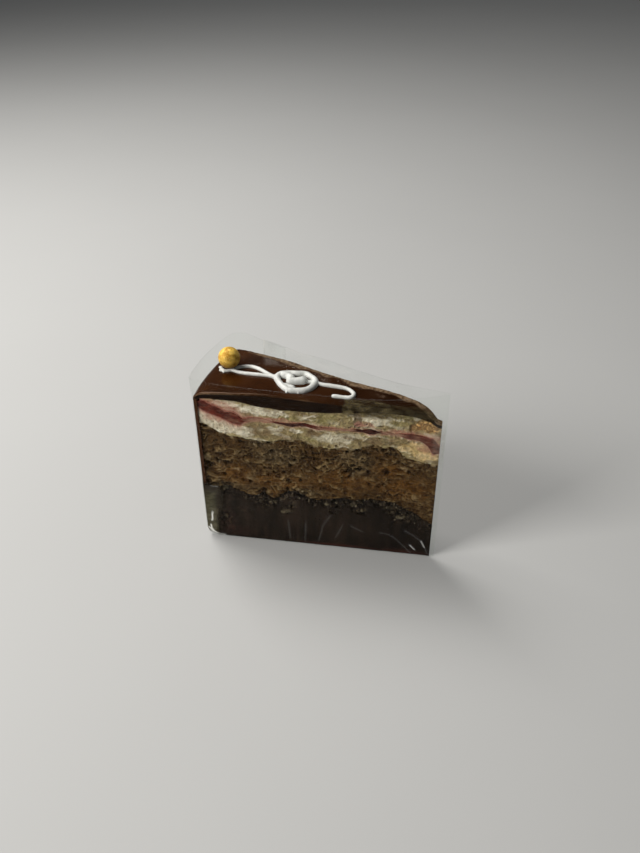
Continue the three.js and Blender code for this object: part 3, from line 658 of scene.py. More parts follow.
# The pore tint darkens the opened holes: painted shade in them.
colour = laid(tree, colour, spread,
              ("arcs", 0.8, (0.165, 0.097, 0.036), (0.39, 0.272, 0.128)),
              ("pore", 0.52, (0.012, 0.0054, 0.0018)))
dress(tree, shader, colour, between(tree, fine, 0.3, 0.7, 0.6, 0.9), 0.12)
raised(tree, shader, fine, 0.0005, 0.8)
raised(tree, shader, grain(tree, place, 3000, detail=2), 0.0002, 0.6)

sponge_shape = slice_layer(LAYER_START, base_top, sponge_top, carve_sponge, rows=110)
sponge = food_piece("brown_sponge", *sponge_shape, sponge_crumb)
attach(sponge, "root")
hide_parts("chocolate_sponge")

# Lower and upper cream
# Two beds of soft whipped cream, spread by hand under and over the jam, smeared along the cut by the knife.
# The lower one lies on the sponge. Jam has bled into both, and crumbs have been dragged over them.

jam_low = boundary(profile(
    (0, 70.8), (1.3, 70.4), (3.4, 68.5), (7.1, 66.6), (11.5, 65.1), (14.6, 63.5), (18.3, 62.5),
    (20.4, 64.1), (24.3, 65.0), (29.4, 65.0), (34.4, 64.6), (39.5, 63.7), (44.5, 64.1), (49.5, 63.5),
    (62.9, 63.9), (68.1, 63.9), (71.6, 63.2), (74.9, 63.8), (82.4, 63.7), (85, 62.9), (88.1, 62.5),
    (91.6, 61.7), (94.0, 59.9), (96.5, 56.4), (98.5, 56.2)), 1.6, 13, 0.2, 2.6)
jam_high = boundary(profile(
    (0, 72.3), (3.9, 72.6), (6.2, 71.4), (9.3, 70.1), (13.0, 68.0), (16.8, 67.4), (19.8, 65.3),
    (23.1, 66.3), (28.2, 66.2), (31.9, 65.4), (37.0, 65.0), (40.8, 65.4), (45.8, 65.8), (50.2, 64.5),
    (62.9, 64.5), (68.1, 65.0), (71.5, 65.3), (75.2, 65.0), (82.3, 64.4), (88.0, 64.6), (91.4, 64.2),
    (94.8, 63.5), (96.5, 63.2), (98.5, 60.5)), 1.6, 13, 0.2, 2.6)
glaze_under = boundary(profile(
    (0, 72.9), (3, 73.9), (13, 74), (20, 73.4), (26, 72.2), (34, 71.5), (44, 71.3), (52, 71.7), (60, 72.4),
    (70, 73.3), (80, 73.8), (87, 73.3), (91, 72.4), (94.5, 71.3), (97.5, 69.0)), 0.6, 14, 0.25, 2.2)


def jam_face(sign):
    """Lower or upper face of the jam, thickening and thinning a little along the cut."""

    def surface(along, across):
        shape = np.broadcast(along, across).shape
        place = np.stack(np.broadcast_arrays(along, across * ACROSS_SCALE, np.zeros(shape)), -1)
        swell = 0.6 * (waves(place, 2.2, 61, 3) - 0.5)
        low, high = jam_low(along, across), jam_high(along, across)
        return (low + high) / 2 + sign * np.maximum((high - low) / 2 + swell, 0.12)

    return surface


jam_under, jam_over = jam_face(-1), jam_face(1)
CREAM_CLEAN = [
    (5, 65, 6, 5), (12, 61, 7, 4.2), (19, 59.3, 6, 3), (24, 70.3, 9, 2.6), (33, 69.3, 6, 1.6),
    (12, 72, 7, 1.6), (41.5, 61.4, 4.4, 1.4), (47, 69, 3.6, 1.1), (57, 59, 7.5, 2.8), (72, 69.5, 4.4, 2.5),
    (89, 72.4, 2, 1.2), (62, 60.5, 5, 2), (33, 61.5, 4, 1.6), (93.5, 54.4, 4.5, 1.3),
    (84.5, 56.6, 2.2, 1.6), (79.5, 71.2, 3.5, 0.8),
]
CREAM_TAN = [(26, 60.5, 6, 3.4), (75, 60, 9, 2.6), (98, 64, 2, 4), (38, 60, 6, 3), (50, 61, 4, 2)]
CREAM_OLIVE = [
    (38, 58.4, 6, 1.8), (54, 68.6, 6, 3.4), (84, 70, 8, 3.4), (38, 68, 6, 1.6), (48, 58, 5, 2),
    (77, 62.4, 4, 1.4),
]
CREAM_WARM = [(89, 58.6, 4.4, 2.6), (85, 57.6, 3, 2.4), (94, 54.6, 4.6, 3), (91, 56, 4, 3)]
CREAM_CRUMB = [(94, 69.6, 5, 3.8), (90, 68.4, 2, 2)]
CREAM_STRIPE = [(66.2, 69.5, 1.9, 5.2)]
CREAM_ROSE = [
    (5.5, 72, 4, 2.4), (11, 71, 5, 2.4), (16, 69, 5, 2.2), (8, 64.6, 6, 1.6), (69, 67, 5, 1.6),
    (33, 66.6, 8, 1.0), (96, 63, 3, 3), (82, 65.6, 5, 1), (94, 57.5, 3, 2.2),
]
CREAM_SPECKS = [
    (75.5, 68.0, 1.2, 0.6), (83.9, 67.3, 0.7, 0.5), (62, 66, 0.9, 0.5), (76, 61.3, 0.6, 0.5),
    (68, 66.4, 0.8, 0.4), (95.6, 71.2, 1.3, 0.8), (92, 68, 0.6, 0.6), (97, 57, 0.8, 0.5),
]


def carve_cream(points, along, side):
    """Depth of the cream's smears and specks below its cut faces, and the marks of its colours and its
    painted shade.
    """
    height = points[..., 2]
    front = side == FRONT
    smeared = points * (0.7, 0.7, 1)
    crest = ridges(smeared, 1.4, 51, 3)
    torn = bubbles(points * (0.8, 0.8, 1), 2.4, 0.12, 0.42, 0.3, 52)
    curds = clamped(bubbles(points * (0.85, 0.85, 1), 1.25, 0.25, 0.72, 0.8, 68) / 0.5)
    patch = clamped(3.0 * waves(smeared, 1.9, 55, 3) - 1.0)
    over_jam = height - at_face(jam_over, along, side)
    gap = np.maximum(over_jam, at_face(jam_under, along, side) - height)
    rich = clamped((24 - along) / 8)
    soak = 0.40 + rich * np.where(over_jam > 0, 1.7, 1.0) + 0.5 * clamped((along - 78) / 8)
    bleed = np.exp(-np.maximum(gap, 0) / soak) * clamped(2.8 * waves(smeared, 1.6, 54, 3) - 0.6 + 0.6 * rich)

    torn_along = along + 7.0 * (waves(points, 3.4, 46, 3) - 0.5)
    torn_height = height + 3.6 * (waves(points, 2.6, 47, 3) - 0.5)

    def marked(places, elsewhere, blur=1.8):
        return np.where(front, clamped(spots(torn_along, torn_height, places) * blur), elsewhere)

    rose = marked(CREAM_ROSE, 0.0) * (0.35 + 0.65 * patch)
    grainy = np.clip((along - 40) / 20, 0.25, 0.6)
    clean_behind = clamped(3.2 * waves(smeared, 9, 56, 2) - 1.1)
    clean = marked(CREAM_CLEAN, clean_behind, 2.4) * (0.45 + 0.35 * crest + 0.45 * (1 - grainy * (1 - curds)))
    curdled = clamped((along - 54) / 8) * clamped(4 * waves(points, 4.5, 69, 2) - 1.5)
    clean = np.maximum(clean, 0.7 * curdled * curds)
    drawn_out = np.stack([points[..., 0] * 0.34, points[..., 1] * 0.34, height + 0.22 * along], -1)
    clean = np.maximum(clean, 0.75 * clamped(5 * waves(drawn_out, 1.9, 42, 3) - 2.75))
    tan = marked(CREAM_TAN, clamped(2.6 * waves(smeared, 8, 57, 2) - 1.2)) * (0.35 + 0.8 * patch)
    tan = np.maximum(tan, 0.6 * clamped(2.4 * waves(smeared, 1.7, 63, 3) - 1.3))
    tan = np.maximum(tan, 0.8 * clamped(5 * waves(drawn_out, 2.1, 43, 3) - 2.8) * clamped((along - 20) / 8))
    olive = marked(CREAM_OLIVE, 0.5 * waves(smeared, 9, 58, 2)) * (0.4 + 0.7 * patch)
    warm = marked(CREAM_WARM, 0.0) * (0.7 + 0.4 * crest)
    crumbed = marked(CREAM_CRUMB, 0.0) * (0.7 + 0.5 * waves(points, 1.2, 59, 3))
    stripe = spots(along + 1.6 * (waves(points, 2.0, 62, 2) - 0.5), height, CREAM_STRIPE)
    stripe = np.where(front, clamped(2.2 * stripe), 0) * (0.6 + 0.5 * patch)
    specks = clamped(waves(points * (0.8, 0.8, 1), 1.1, 60, 2) * 9 - 6.7)
    dug = marked(CREAM_SPECKS, 0.0) * (0.4 + waves(points, 0.8, 64, 2))
    over_sponge = height - at_face(sponge_top, along, side)
    stray = clamped(bubbles(points, 2.1, 0.3, 0.75, 0.5, 50) / 0.3) * clamped(1.3 - over_sponge / 5)
    stray = stray * np.clip((along - 34) / 24, 0.15, 1)
    specks = np.maximum.reduce([specks, torn * 1.3, dug, stray])
    grains = clamped(bubbles(points, 1.2, 0.3, 0.75, 0.85, 65) / 0.5)
    depth = 0.40 * (1 - crest) + 0.35 * grainy * (1 - curds) + 0.3 * waves(points, 6, 53) + 0.8 * torn
    depth = depth + 0.5 * dug + 1.1 * crumbed * (1 - grains)
    marks = {"clean": clean, "tan": tan, "olive": olive, "warm": warm, "crumbed": crumbed, "stripe": stripe,
             "specks": np.maximum(specks, 0.8 * crumbed * (1 - grains) ** 2),
             "bleed": np.maximum(bleed, rose * 0.55), "crest": crest, "sunk": sunk(depth, 10, 0.9)}
    return depth, {name: clamped(values) for name, values in marks.items()}


def lit_through(shader, radius):
    """Lets light a little way into a material."""
    for setting, value in (("Weight", 0.2), ("Radius", radius), ("Scale", 0.0008)):
        shader.inputs[f"Subsurface {setting}"].default_value = value


whipped_cream, tree, shader, place = new_finish("whipped_cream")
smear = grain(tree, place, 480, (0.5, 0.5, 1), detail=5, rough=0.6)
fine = grain(tree, place, 1500, (0.8, 0.8, 1), detail=3)
# Crests add to the tone, so ridges are lighter and furrows darker: painted light and shade over the cream's
# own tone.
tone = weighted(tree, (smear, 0.60), (fine, 0.15), (read_mark(tree, "crest"), 0.28))
spread = between(tree, tone, 0.32, 0.66)
speckled = between(tree, fine, 0.35, 0.65)
colour = mixed(tree, spread, (0.182, 0.133, 0.053), (0.51, 0.402, 0.195))
colour = laid(tree, colour, spread,
              ("olive", 0.85, (0.180, 0.144, 0.050), (0.42, 0.352, 0.142)),
              ("clean", 1.0, (0.58, 0.49, 0.345), (0.95, 0.875, 0.70)),
              ("tan", 0.85, (0.122, 0.076, 0.034), (0.34, 0.230, 0.115)),
              ("warm", 0.8, (0.50, 0.318, 0.110), (1.0, 0.725, 0.340)),
              ("stripe", 0.85, (0.150, 0.105, 0.062)))
colour = laid(tree, colour, speckled, ("crumbed", 1.0, (0.44, 0.195, 0.048), (1.0, 0.660, 0.275)))
# Points sunk below their neighbours are darkened: painted shade in the cream's hollows.
hollow_shade_share = between(tree, read_mark(tree, "sunk"), 0.55, 0.95, 0.0, 0.60)
colour = mixed(tree, hollow_shade_share, colour, (0.085, 0.060, 0.028))
bleed = read_mark(tree, "bleed")
pink = mixed(tree, bleed, (0.68, 0.345, 0.25), (0.22, 0.040, 0.026))
colour = mixed(tree, between(tree, bleed, 0.0, 0.65, 0.0, 0.95), colour, pink)
colour = laid(tree, colour, spread, ("specks", 0.75, (0.085, 0.040, 0.015)))
dress(tree, shader, colour, between(tree, tone, 0.3, 0.7, 0.38, 0.6), 0.25)
lit_through(shader, (1.0, 0.75, 0.5))
raised(tree, shader, tone, 0.0005, 0.7)

UPPER_CREAM_START = 2.6
lower_shape = slice_layer(LAYER_START, sponge_top, jam_under, carve_cream, rows=36)
upper_shape = slice_layer(UPPER_CREAM_START, jam_over, glaze_under, carve_cream, rows=32)
lower_cream = food_piece("lower_cream_bed", *lower_shape, whipped_cream)
upper_cream = food_piece("upper_cream_bed", *upper_shape, whipped_cream)
for cream, node in ((lower_cream, "cream_lower"), (upper_cream, "cream_upper")):
    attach(cream, "root")
    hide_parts(node)

# Jam
# A spread of dark red fruit jam between the two creams, thick and wet at the rim and thin towards the tip.
# It was spread on the lower cream, and the upper cream holds it down.

JAM_THIN = [(26, 65.4, 7, 2.4), (58, 64.2, 8.5, 2.4), (80, 64.2, 5, 2.4)]
JAM_DARK = [(70, 64.2, 8, 3), (40, 64.8, 7, 2.4)]


def carve_jam(points, along, side):
    """Depth of the wet jam below its cut faces, and the marks of its colours."""
    wet = waves(points * (0.5, 0.5, 1), 1.6, 66, 3)
    thin_behind = clamped(2.8 * waves(points, 12, 64, 2) - 1.2)
    thin = np.where(side == FRONT, spots(along, points[..., 2], JAM_THIN), thin_behind)
    creamed = clamped(3.0 * waves(points * (0.6, 0.6, 1), 1.5, 67, 3) - 1.5)
    creamed = creamed * np.clip((along - 4) / 24, 0.18, 0.5)
    dark = np.where(side == FRONT, clamped(1.6 * spots(along, points[..., 2], JAM_DARK)), 0)
    dull = clamped((along - 76) / 8)
    return 0.45 * wet + 0.12, {"thin": clamped(thin * 1.7 + creamed), "dark": dark, "dull": dull}


fruit_jam, tree, shader, place = new_finish("dark_red_jam")
smear = grain(tree, place, 600, (0.4, 0.4, 1), detail=4)
spread = between(tree, smear, 0.34, 0.70)
blotted = between(tree, smear, 0.35, 0.68)
colour = mixed(tree, spread, (0.036, 0.0042, 0.0020), (0.160, 0.021, 0.0090))
colour = laid(tree, colour, spread,
              ("dark", 0.9, (0.017, 0.0046, 0.0030), (0.064, 0.018, 0.0115)),
              ("dull", 0.65, (0.070, 0.0240, 0.0165), (0.210, 0.083, 0.0560)))
colour = laid(tree, colour, blotted, ("thin", 1.0, (0.200, 0.086, 0.056), (0.42, 0.235, 0.155)))
dress(tree, shader, colour, between(tree, smear, 0.3, 0.7, 0.22, 0.45), 0.17)
raised(tree, shader, smear, 0.0004, 0.6)

jam_shape = slice_layer(LAYER_START, jam_under, jam_over, carve_jam, rows=12)
jam = food_piece("fruit_jam", *jam_shape, fruit_jam)
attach(jam, "root")
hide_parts("jam_layer")

# Glaze
# Dark chocolate glaze, poured over the top and run down the outer rim as a thin coat, and cut with the slice.
# It set glossy, a little higher along the back cut, where its edge has dried to a paler, duller brown.

glaze_heights = profile(
    (0, 74.3), (1.2, 75.4), (4, 76.3), (13, 77.1), (30, 77.7), (46, 77), (60, 76.3), (76, 76.8), (88, 76.4),
    (94, 74.4), (97, 72))
glaze_back_rise = profile((0, 0), (20, 0.3), (35, 0.6), (47, 0.9), (58, 1.6), (72, 2.1), (82, 2), (97, 2))
GLAZE_COLUMNS = 60
COAT_TOP, COAT_LOWEST, COAT_DEPTH = 73.6, 26.4, 1.6
RIM_HALF_WIDTH = 19.6


def glaze_level(along, across):
    """Height of the glaze before its waves, rising towards the back."""
    return glaze_heights(along) + (across + 1) / 2 * glaze_back_rise(along)


def glaze_over(along, across):
    """Top of the glaze: nearly level, with slow waves and eased cut edges."""
    from_edge = (1 - np.abs(across)) * (CAKE_RADIUS - along) * HALF_ANGLE
    eased = 0.5 * clamped(1 - from_edge / 0.9) ** 2
    shape = np.broadcast(along, across).shape
    place = np.stack(np.broadcast_arrays(along, across * ACROSS_SCALE, np.zeros(shape)), -1)
    uneven = 0.22 * (waves(place, 11, 81, 2) - 0.5)
    crumpled = 0.5 * clamped(across * 6 - 5) * (waves(place * (1, 0.3, 1), 2.4, 88, 3) - 0.3)
    drooping = 1.2 * clamped((along - 91) / 8) ** 1.5
    return glaze_level(along, across) - eased - drooping + uneven + crumpled


def carve_glaze(points, along, side):
    """Depth of the knife's drag in the glaze, and which of its points are cut."""
    drawn = waves(points * (0.25, 0.25, 1), 1.2, 82, 3)
    dragged = waves(points, 3.5, 83, 2)
    cut = np.where(side == RIM, 0.0, 1.0)
    return np.where(side == RIM, 0.06 * dragged, 0.35 * drawn + 0.25 * dragged), {"cut": cut}


def rim_coat():
    """The coat down the rim, as a thin curved wall that ends in a ragged lower edge."""
    turns = np.linspace(-1, 1, 90)
    rows = np.linspace(0, 1, 120)
    shares, across = np.meshgrid(rows, turns, indexing="ij")
    edge = np.stack([np.zeros_like(turns), turns * ACROSS_SCALE, np.zeros_like(turns)], -1)
    lowest = COAT_LOWEST + 1.6 * waves(edge, 3.5, 84, 3)
    height = COAT_TOP * (1 - shares) + lowest * shares
    place = np.stack([np.zeros_like(across), across * ACROSS_SCALE, height], -1)
    sag = waves(place * (1, 1, 0.2), 4.5, 85, 2) * 0.25 + waves(place, 1.6, 86, 2) * 0.12
    thin = clamped((height - lowest) / 1.4) ** 0.5
    corner = 0.2 * clamped(1 - (1 - np.abs(across)) * RIM_HALF_WIDTH / 0.6) ** 2
    sheets = []
    for inset in (0.8 * sag + corner - 0.2, COAT_DEPTH + 0 * sag):
        inset = COAT_DEPTH - (COAT_DEPTH - inset) * (0.35 + 0.65 * thin)
        radius = CAKE_RADIUS - inset
        angle = across * HALF_ANGLE
        sheets.append(np.stack([TIP_X - radius * np.cos(angle), radius * np.sin(angle), height], -1))
    outer = np.arange(across.size).reshape(across.shape)
    inner = outer + across.size
    faces, lining = quads(outer.T), quads(inner)
    loop = np.concatenate([outer[0, :-1], outer[:-1, -1], outer[-1, :0:-1], outer[:0:-1, 0]])
    after = np.roll(loop, -1)
    edges = np.stack([loop, loop + across.size, after + across.size, after], -1)
    return np.concatenate(sheets).reshape(-1, 3), np.concatenate([faces, lining, edges]).tolist()


poured_glaze, tree, shader, place = new_finish("dark_chocolate_glaze")
slow = grain(tree, place, 60, detail=3)
fine = grain(tree, place, 900, detail=4)
colour = mixed(tree, between(tree, slow, 0.35, 0.68), (0.024, 0.0068, 0.0012), (0.042, 0.0130, 0.0026))
runs = between(tree, grain(tree, place, 120, (1, 1, 0.5), detail=2), 0.34, 0.68)
colour = laid(tree, colour, runs, ("coat", 0.85, (0.042, 0.0148, 0.0060), (0.060, 0.0222, 0.0100)))
toward_tip = coordinate(tree, place, "X")
tip_shade = between(tree, toward_tip, -12 * MM, 26 * MM, 0.0, 0.75)
colour = mixed(tree, tip_shade, colour, (0.0085, 0.0026, 0.0006))
speckled = between(tree, fine, 0.38, 0.62)
# The pale tint covers the dried band along the back and a painted highlight along the front cut edge.
colour = laid(tree, colour, speckled, ("dry_band_and_edge_highlight", 1.0, (0.050, 0.027, 0.013), (0.20, 0.135, 0.080)))
rough = weighted(tree, (between(tree, slow, 0.3, 0.7, 0.12, 0.22), 1.0), (read_mark(tree, "dry_band_and_edge_highlight"), 0.45))
dress(tree, shader, colour, rough, 0.20)
shader.inputs["Specular Tint"].default_value = (1.0, 0.62, 0.34, 1)
raised(tree, shader, grain(tree, place, 180, detail=2), 0.0006, 0.25)
raised(tree, shader, fine, 0.0002, 0.15)

cut_glaze, tree, shader, place = new_finish("cut_glaze")
drawn = grain(tree, place, 700, (0.2, 0.2, 1), detail=4)
colour = mixed(tree, between(tree, drawn, 0.32, 0.7), (0.0055, 0.0019, 0.0006), (0.0190, 0.0078, 0.0026))
dress(tree, shader, colour, between(tree, drawn, 0.3, 0.7, 0.4, 0.65), 0.06)
raised(tree, shader, drawn, 0.0004, 0.5)

vertices, faces, marks = slice_layer(0.0, glaze_under, glaze_over, carve_glaze,
                                     rows=10, rim_points=GLAZE_COLUMNS, columns=GLAZE_COLUMNS)
coat_vertices, coat_faces = rim_coat()
faces += [[corner + len(vertices) for corner in face] for face in coat_faces]
marks["cut"] = np.concatenate([marks["cut"], np.zeros(len(coat_vertices))])
marks["coat"] = np.concatenate([np.zeros(len(vertices)), np.ones(len(coat_vertices))])
vertices = np.concatenate([vertices, coat_vertices])
along = CAKE_RADIUS - np.hypot(TIP_X - vertices[:, 0], vertices[:, 1])
turned = np.arctan2(vertices[:, 1], TIP_X - vertices[:, 0])
from_back = (CAKE_RADIUS - along) * (HALF_ANGLE - turned)
from_front = (CAKE_RADIUS - along) * (HALF_ANGLE + turned)
place_on_edge = np.stack([along, 0 * along, 0 * along], -1)
band = 1.4 + 2.8 * waves(place_on_edge, 6, 87, 3)
marks["dry_band_and_edge_highlight"] = clamped((band - from_back) / 0.7) * (vertices[:, 2] > 70) * clamped((along - 8) / 6)
# A thin pale line along the front cut edge, towards the rim end: painted highlight of the edge catching
# light.
front_edge_highlight = clamped((0.75 * waves(place_on_edge, 2.5, 89, 3) + 0.15 - from_front) / 0.3)
front_edge_highlight = front_edge_highlight * (vertices[:, 2] > glaze_heights(along) - 1)
marks["dry_band_and_edge_highlight"] = np.maximum(marks["dry_band_and_edge_highlight"], 0.55 * front_edge_highlight * clamped((62 - along) / 6))
cut_faces = [int(all(marks["cut"][face] > 0.5)) for face in faces]
glaze = food_piece("poured_glaze", vertices, faces, marks, poured_glaze)
glaze.data.materials.append(cut_glaze)
glaze.data.polygons.foreach_set("material_index", cut_faces)
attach(glaze, "root")
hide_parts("glaze")

# Piped icing
# White sugar icing, piped on the set glaze in one go as two strands, a looped knot and a hooked tail.
# The strands run into each other where they cross, and a dab was left in the middle of the knot.

ICING_STROKES = [
    ([(-39.4, 1.6), (-36.5, 3.5), (-33.7, 4.4), (-30.9, 4.1), (-27.6, 2.8), (-24.3, 1.1), (-21.1, -0.2),
      (-19.5, -0.8)], 0.84, False),
    ([(-40.4, 0.2), (-36.8, -0.8), (-33.2, -1.0), (-29.3, -0.7), (-25.4, -0.4), (-21.0, -0.4), (-19.5, -0.8)],
     0.78, False),
    ([(-22.4, -0.2), (-19.6, -0.6)], 1.0, False),
    ([(-19.5, -0.8), (-18.8, 2.1), (-16.6, 3.8), (-13.0, 4.7), (-9.8, 5.9), (-6.9, 4.7), (-4.2, 2.4),
      (-4.0, -0.8), (-5.7, -4.4), (-8.8, -6.2), (-12.4, -6.9), (-15.5, -5.3), (-18.0, -2.9)], 1.36, True),
    ([(-17.6, 1.7), (-15.8, 1.7), (-14.0, 0.8)], 1.75, False),
    ([(-14.4, -4.8), (-11.2, -5.1)], 1.35, False),
    ([(-13.6, -1.1), (-12.0, -0.8), (-10.4, 0.0), (-9.0, 0.9)], 1.85, False),
    ([(-8.7, 1.2), (-6.2, 1.5), (-4.2, 1.8)], 0.82, False),
    ([(-4.6, 1.8), (-1.1, 1.6), (3.0, 1.9), (6.3, 2.1), (9.3, 2.0), (11.8, 0.7), (13.1, -0.9), (12.5, -2.7),
      (10.2, -3.4), (7.5, -3.8), (5.7, -4.1)], 0.86, False),
    ([(-45.6, 1.2), (-44.4, -0.2), (-42.2, -1.1), (-40.5, -0.3)], 0.78, False),
    ([(-46.2, 1.4), (-45.4, 0.9)], 0.62, False),
    ([(-44.9, -0.9), (-44.2, -1.2)], 0.58, False),
    ([(-43.4, -1.4), (-42.6, -2.0)], 0.62, False),
    ([(-12.7, -7.6), (-12.3, -8.7)], 0.5, False),
    ([(-8.3, -6.2), (-7.8, -7.2)], 0.45, False),
]


def glaze_height_at(x, y):
    """Height of the glaze under a place on it."""
    along = CAKE_RADIUS - math.hypot(TIP_X - x, y)
    across = math.atan2(y, TIP_X - x) / HALF_ANGLE
    return float(glaze_over(np.array([along]), np.array([across]))[0])


icing_curve = bpy.data.curves.new("icing_strokes", "CURVE")
icing_curve.dimensions = "3D"
for points, width, closed in ICING_STROKES:
    stroke = icing_curve.splines.new("BEZIER")
    stroke.bezier_points.add(len(points) - 1)
    stroke.use_cyclic_u = closed
    for knot, (x, y) in zip(stroke.bezier_points, points):
        knot.co = Vector((x, y, glaze_height_at(x, y) + 0.15 + 0.12 * width)) * MM
        knot.handle_left_type = knot.handle_right_type = "AUTO"
        knot.radius = width * MM
icing = bpy.data.objects.new("icing_strokes", icing_curve)
bpy.context.scene.collection.objects.link(icing)

sugar_icing, tree, shader, place = new_finish("white_sugar_icing")
fine = grain(tree, place, 1600, detail=3)
soft = grain(tree, place, 300, detail=3)
colour = mixed(tree, between(tree, soft, 0.35, 0.65), (0.58, 0.585, 0.55), (0.72, 0.725, 0.69))
dress(tree, shader, colour, between(tree, fine, 0.3, 0.7, 0.32, 0.5), 0.5)
lit_through(shader, (0.9, 0.9, 0.8))
raised(tree, shader, fine, 0.0002, 0.4)


def geometry_group(name, *values):
    """New geometry node tree with a number socket per value, the sockets that feed it and its result."""
    group = bpy.data.node_groups.new(name, "GeometryNodeTree")
    for direction in ("INPUT", "OUTPUT"):
        group.interface.new_socket("Geometry", in_out=direction, socket_type="NodeSocketGeometry")
    for value in values:
        group.interface.new_socket(value, in_out="INPUT", socket_type="NodeSocketFloat")
    return group, group.nodes.new("NodeGroupInput").outputs, group.nodes.new("NodeGroupOutput").inputs[0]


piping, given, result = geometry_group("piping", "Bead Step", "Grain Size", "Unevenness")
bead_inputs = {"Curve": given["Geometry"], "Length": given["Bead Step"]}
beads = make_node(piping, "GeometryNodeCurveToPoints", bead_inputs, mode="LENGTH")
width = make_node(piping, "GeometryNodeInputRadius").outputs[0]
wobble = make_node(piping, "ShaderNodeTexNoise", {"Scale": 260.0, "Detail": 2.0}).outputs[0]
leanest = sums(piping, "SUBTRACT", 1.0, given["Unevenness"])
fullest = sums(piping, "ADD", 1.0, given["Unevenness"])
bead_size = sums(piping, "MULTIPLY", width, between(piping, wobble, 0.3, 0.7, leanest, fullest))
volume_inputs = {"Points": beads, "Voxel Size": given["Grain Size"], "Radius": bead_size, "Density": 1.0}
volume = make_node(piping, "GeometryNodePointsToVolume", volume_inputs, resolution_mode="VOXEL_SIZE")
skin_inputs = {"Volume": volume, "Voxel Size": given["Grain Size"], "Threshold": 0.1}
skin = make_node(piping, "GeometryNodeVolumeToMesh", skin_inputs, resolution_mode="VOXEL_SIZE")
position = make_node(piping, "GeometryNodeInputPosition")
blur_inputs = {"Value": position, "Iterations": 6}
melted = make_node(piping, "GeometryNodeBlurAttribute", blur_inputs, data_type="FLOAT_VECTOR")
flowed = make_node(piping, "GeometryNodeSetPosition", {"Geometry": skin, "Position": melted})
smooth = make_node(piping, "GeometryNodeSetShadeSmooth", {"Geometry": flowed})
real = make_node(piping, "GeometryNodeRealizeInstances", {"Geometry": smooth})
painted = make_node(piping, "GeometryNodeSetMaterial", {"Geometry": real, "Material": sugar_icing})
piping.links.new(painted.outputs[0], result)


def plain_mesh(source, name, tree, values):
    """What a node tree makes of an object, as a plain mesh object of its own."""
    maker = source.modifiers.new(name, "NODES")
    maker.node_group = tree
    for socket, value in values.items():
        maker[tree.interface.items_tree[socket].identifier] = value
    depsgraph = bpy.context.evaluated_depsgraph_get()
    shown = source.evaluated_get(depsgraph)
    mesh = bpy.data.meshes.new_from_object(shown, preserve_all_data_layers=True, depsgraph=depsgraph)
    mesh.name = name
    source.modifiers.remove(maker)
    made = bpy.data.objects.new(name, mesh)
    bpy.context.scene.collection.objects.link(made)
    return made


piping_values = {"Bead Step": 0.15 * MM, "Grain Size": 0.2 * MM, "Unevenness": 0.10}
piped_icing = plain_mesh(icing, "piped_icing", piping, piping_values)
bpy.data.objects.remove(icing)
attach(piped_icing, "root")
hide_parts("glaze")

# Gold pearl
# A sugar ball in gold lustre, 9 mm across, set in a dab of icing at the rim end of the piping.
# Its skin is satin, mottled, with shallow dents; its lower side is darkened with painted shade.

PEARL_RADIUS = 4.6
PEARL_PLACE = np.array([-41.8, 2.0])
pearl_along = CAKE_RADIUS - math.hypot(TIP_X - PEARL_PLACE[0], PEARL_PLACE[1])
pearl_across = math.atan2(PEARL_PLACE[1], TIP_X - PEARL_PLACE[0]) / HALF_ANGLE
pearl_seat = float(glaze_level(pearl_along, pearl_across)) + 0.3
pearl_centre = np.array([*PEARL_PLACE, pearl_seat + PEARL_RADIUS])

lustre, tree, shader, place = new_finish("gold_lustre")
soft = grain(tree, place, 420, detail=4)
fine = grain(tree, place, 2600, detail=3)
colour = mixed(tree, between(tree, soft, 0.40, 0.60), (0.48, 0.232, 0.018), (0.98, 0.635, 0.112))
colour = mixed(tree, between(tree, fine, 0.52, 0.70), colour, (0.98, 0.72, 0.24))
# Darker towards the bottom of the ball: painted shade on its lower side.
lower = coordinate(tree, place, "Z")
lower_side_shade = between(tree, lower, (pearl_centre[2] - 3.4) * MM, (pearl_centre[2] + 0.4) * MM, 0.9, 0.0)
colour = mixed(tree, lower_side_shade, colour, (0.250, 0.098, 0.006))
dress(tree, shader, colour, between(tree, soft, 0.3, 0.7, 0.40, 0.55), 0.28)
shader.inputs["Metallic"].default_value = 0.12
shader.inputs["Specular Tint"].default_value = (1.0, 0.78, 0.42, 1)
raised(tree, shader, fine, 0.0002, 0.35)
raised(tree, shader, soft, 0.0004, 0.35)

rings, segments = 72, 144
tilts = np.linspace(0, math.pi, rings + 1)[1:-1]
spins = np.arange(segments) * 2 * math.pi / segments
tilt, spin = np.meshgrid(tilts, spins, indexing="ij")
ball = np.stack([np.sin(tilt) * np.cos(spin), np.sin(tilt) * np.sin(spin), np.cos(tilt)], -1).reshape(-1, 3)
ball = np.concatenate([ball, [(0, 0, 1), (0, 0, -1)]])
dents = 0.16 * (waves(ball * PEARL_RADIUS + 50, 4.0, 91, 2) - 0.5)
dents = dents + 0.05 * (waves(ball * PEARL_RADIUS, 1.3, 92) - 0.5)
pearl_points = pearl_centre + ball * (PEARL_RADIUS - 0.08 + dents)[:, None]
grid = np.arange((rings - 1) * segments).reshape(rings - 1, segments)
pearl_faces = quads(np.concatenate([grid, grid[:, :1]], 1)).tolist()
top, bottom = grid.size, grid.size + 1
pearl_faces += [[top, a, b] for a, b in zip(grid[0].tolist(), np.roll(grid[0], -1).tolist())]
pearl_faces += [[bottom, b, a] for a, b in zip(grid[-1].tolist(), np.roll(grid[-1], -1).tolist())]
pearl = food_piece("gold_sugar_pearl", pearl_points, pearl_faces, {}, lustre)
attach(pearl, "root")
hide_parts("gold_pearl")

# Loose crumbs
# Crumbs of both cakes, under a millimetre across, that the knife broke off the base's torn upper edge.
# They are stuck in the gaps of that edge, on both cut faces, and lie no further out than the faces do.

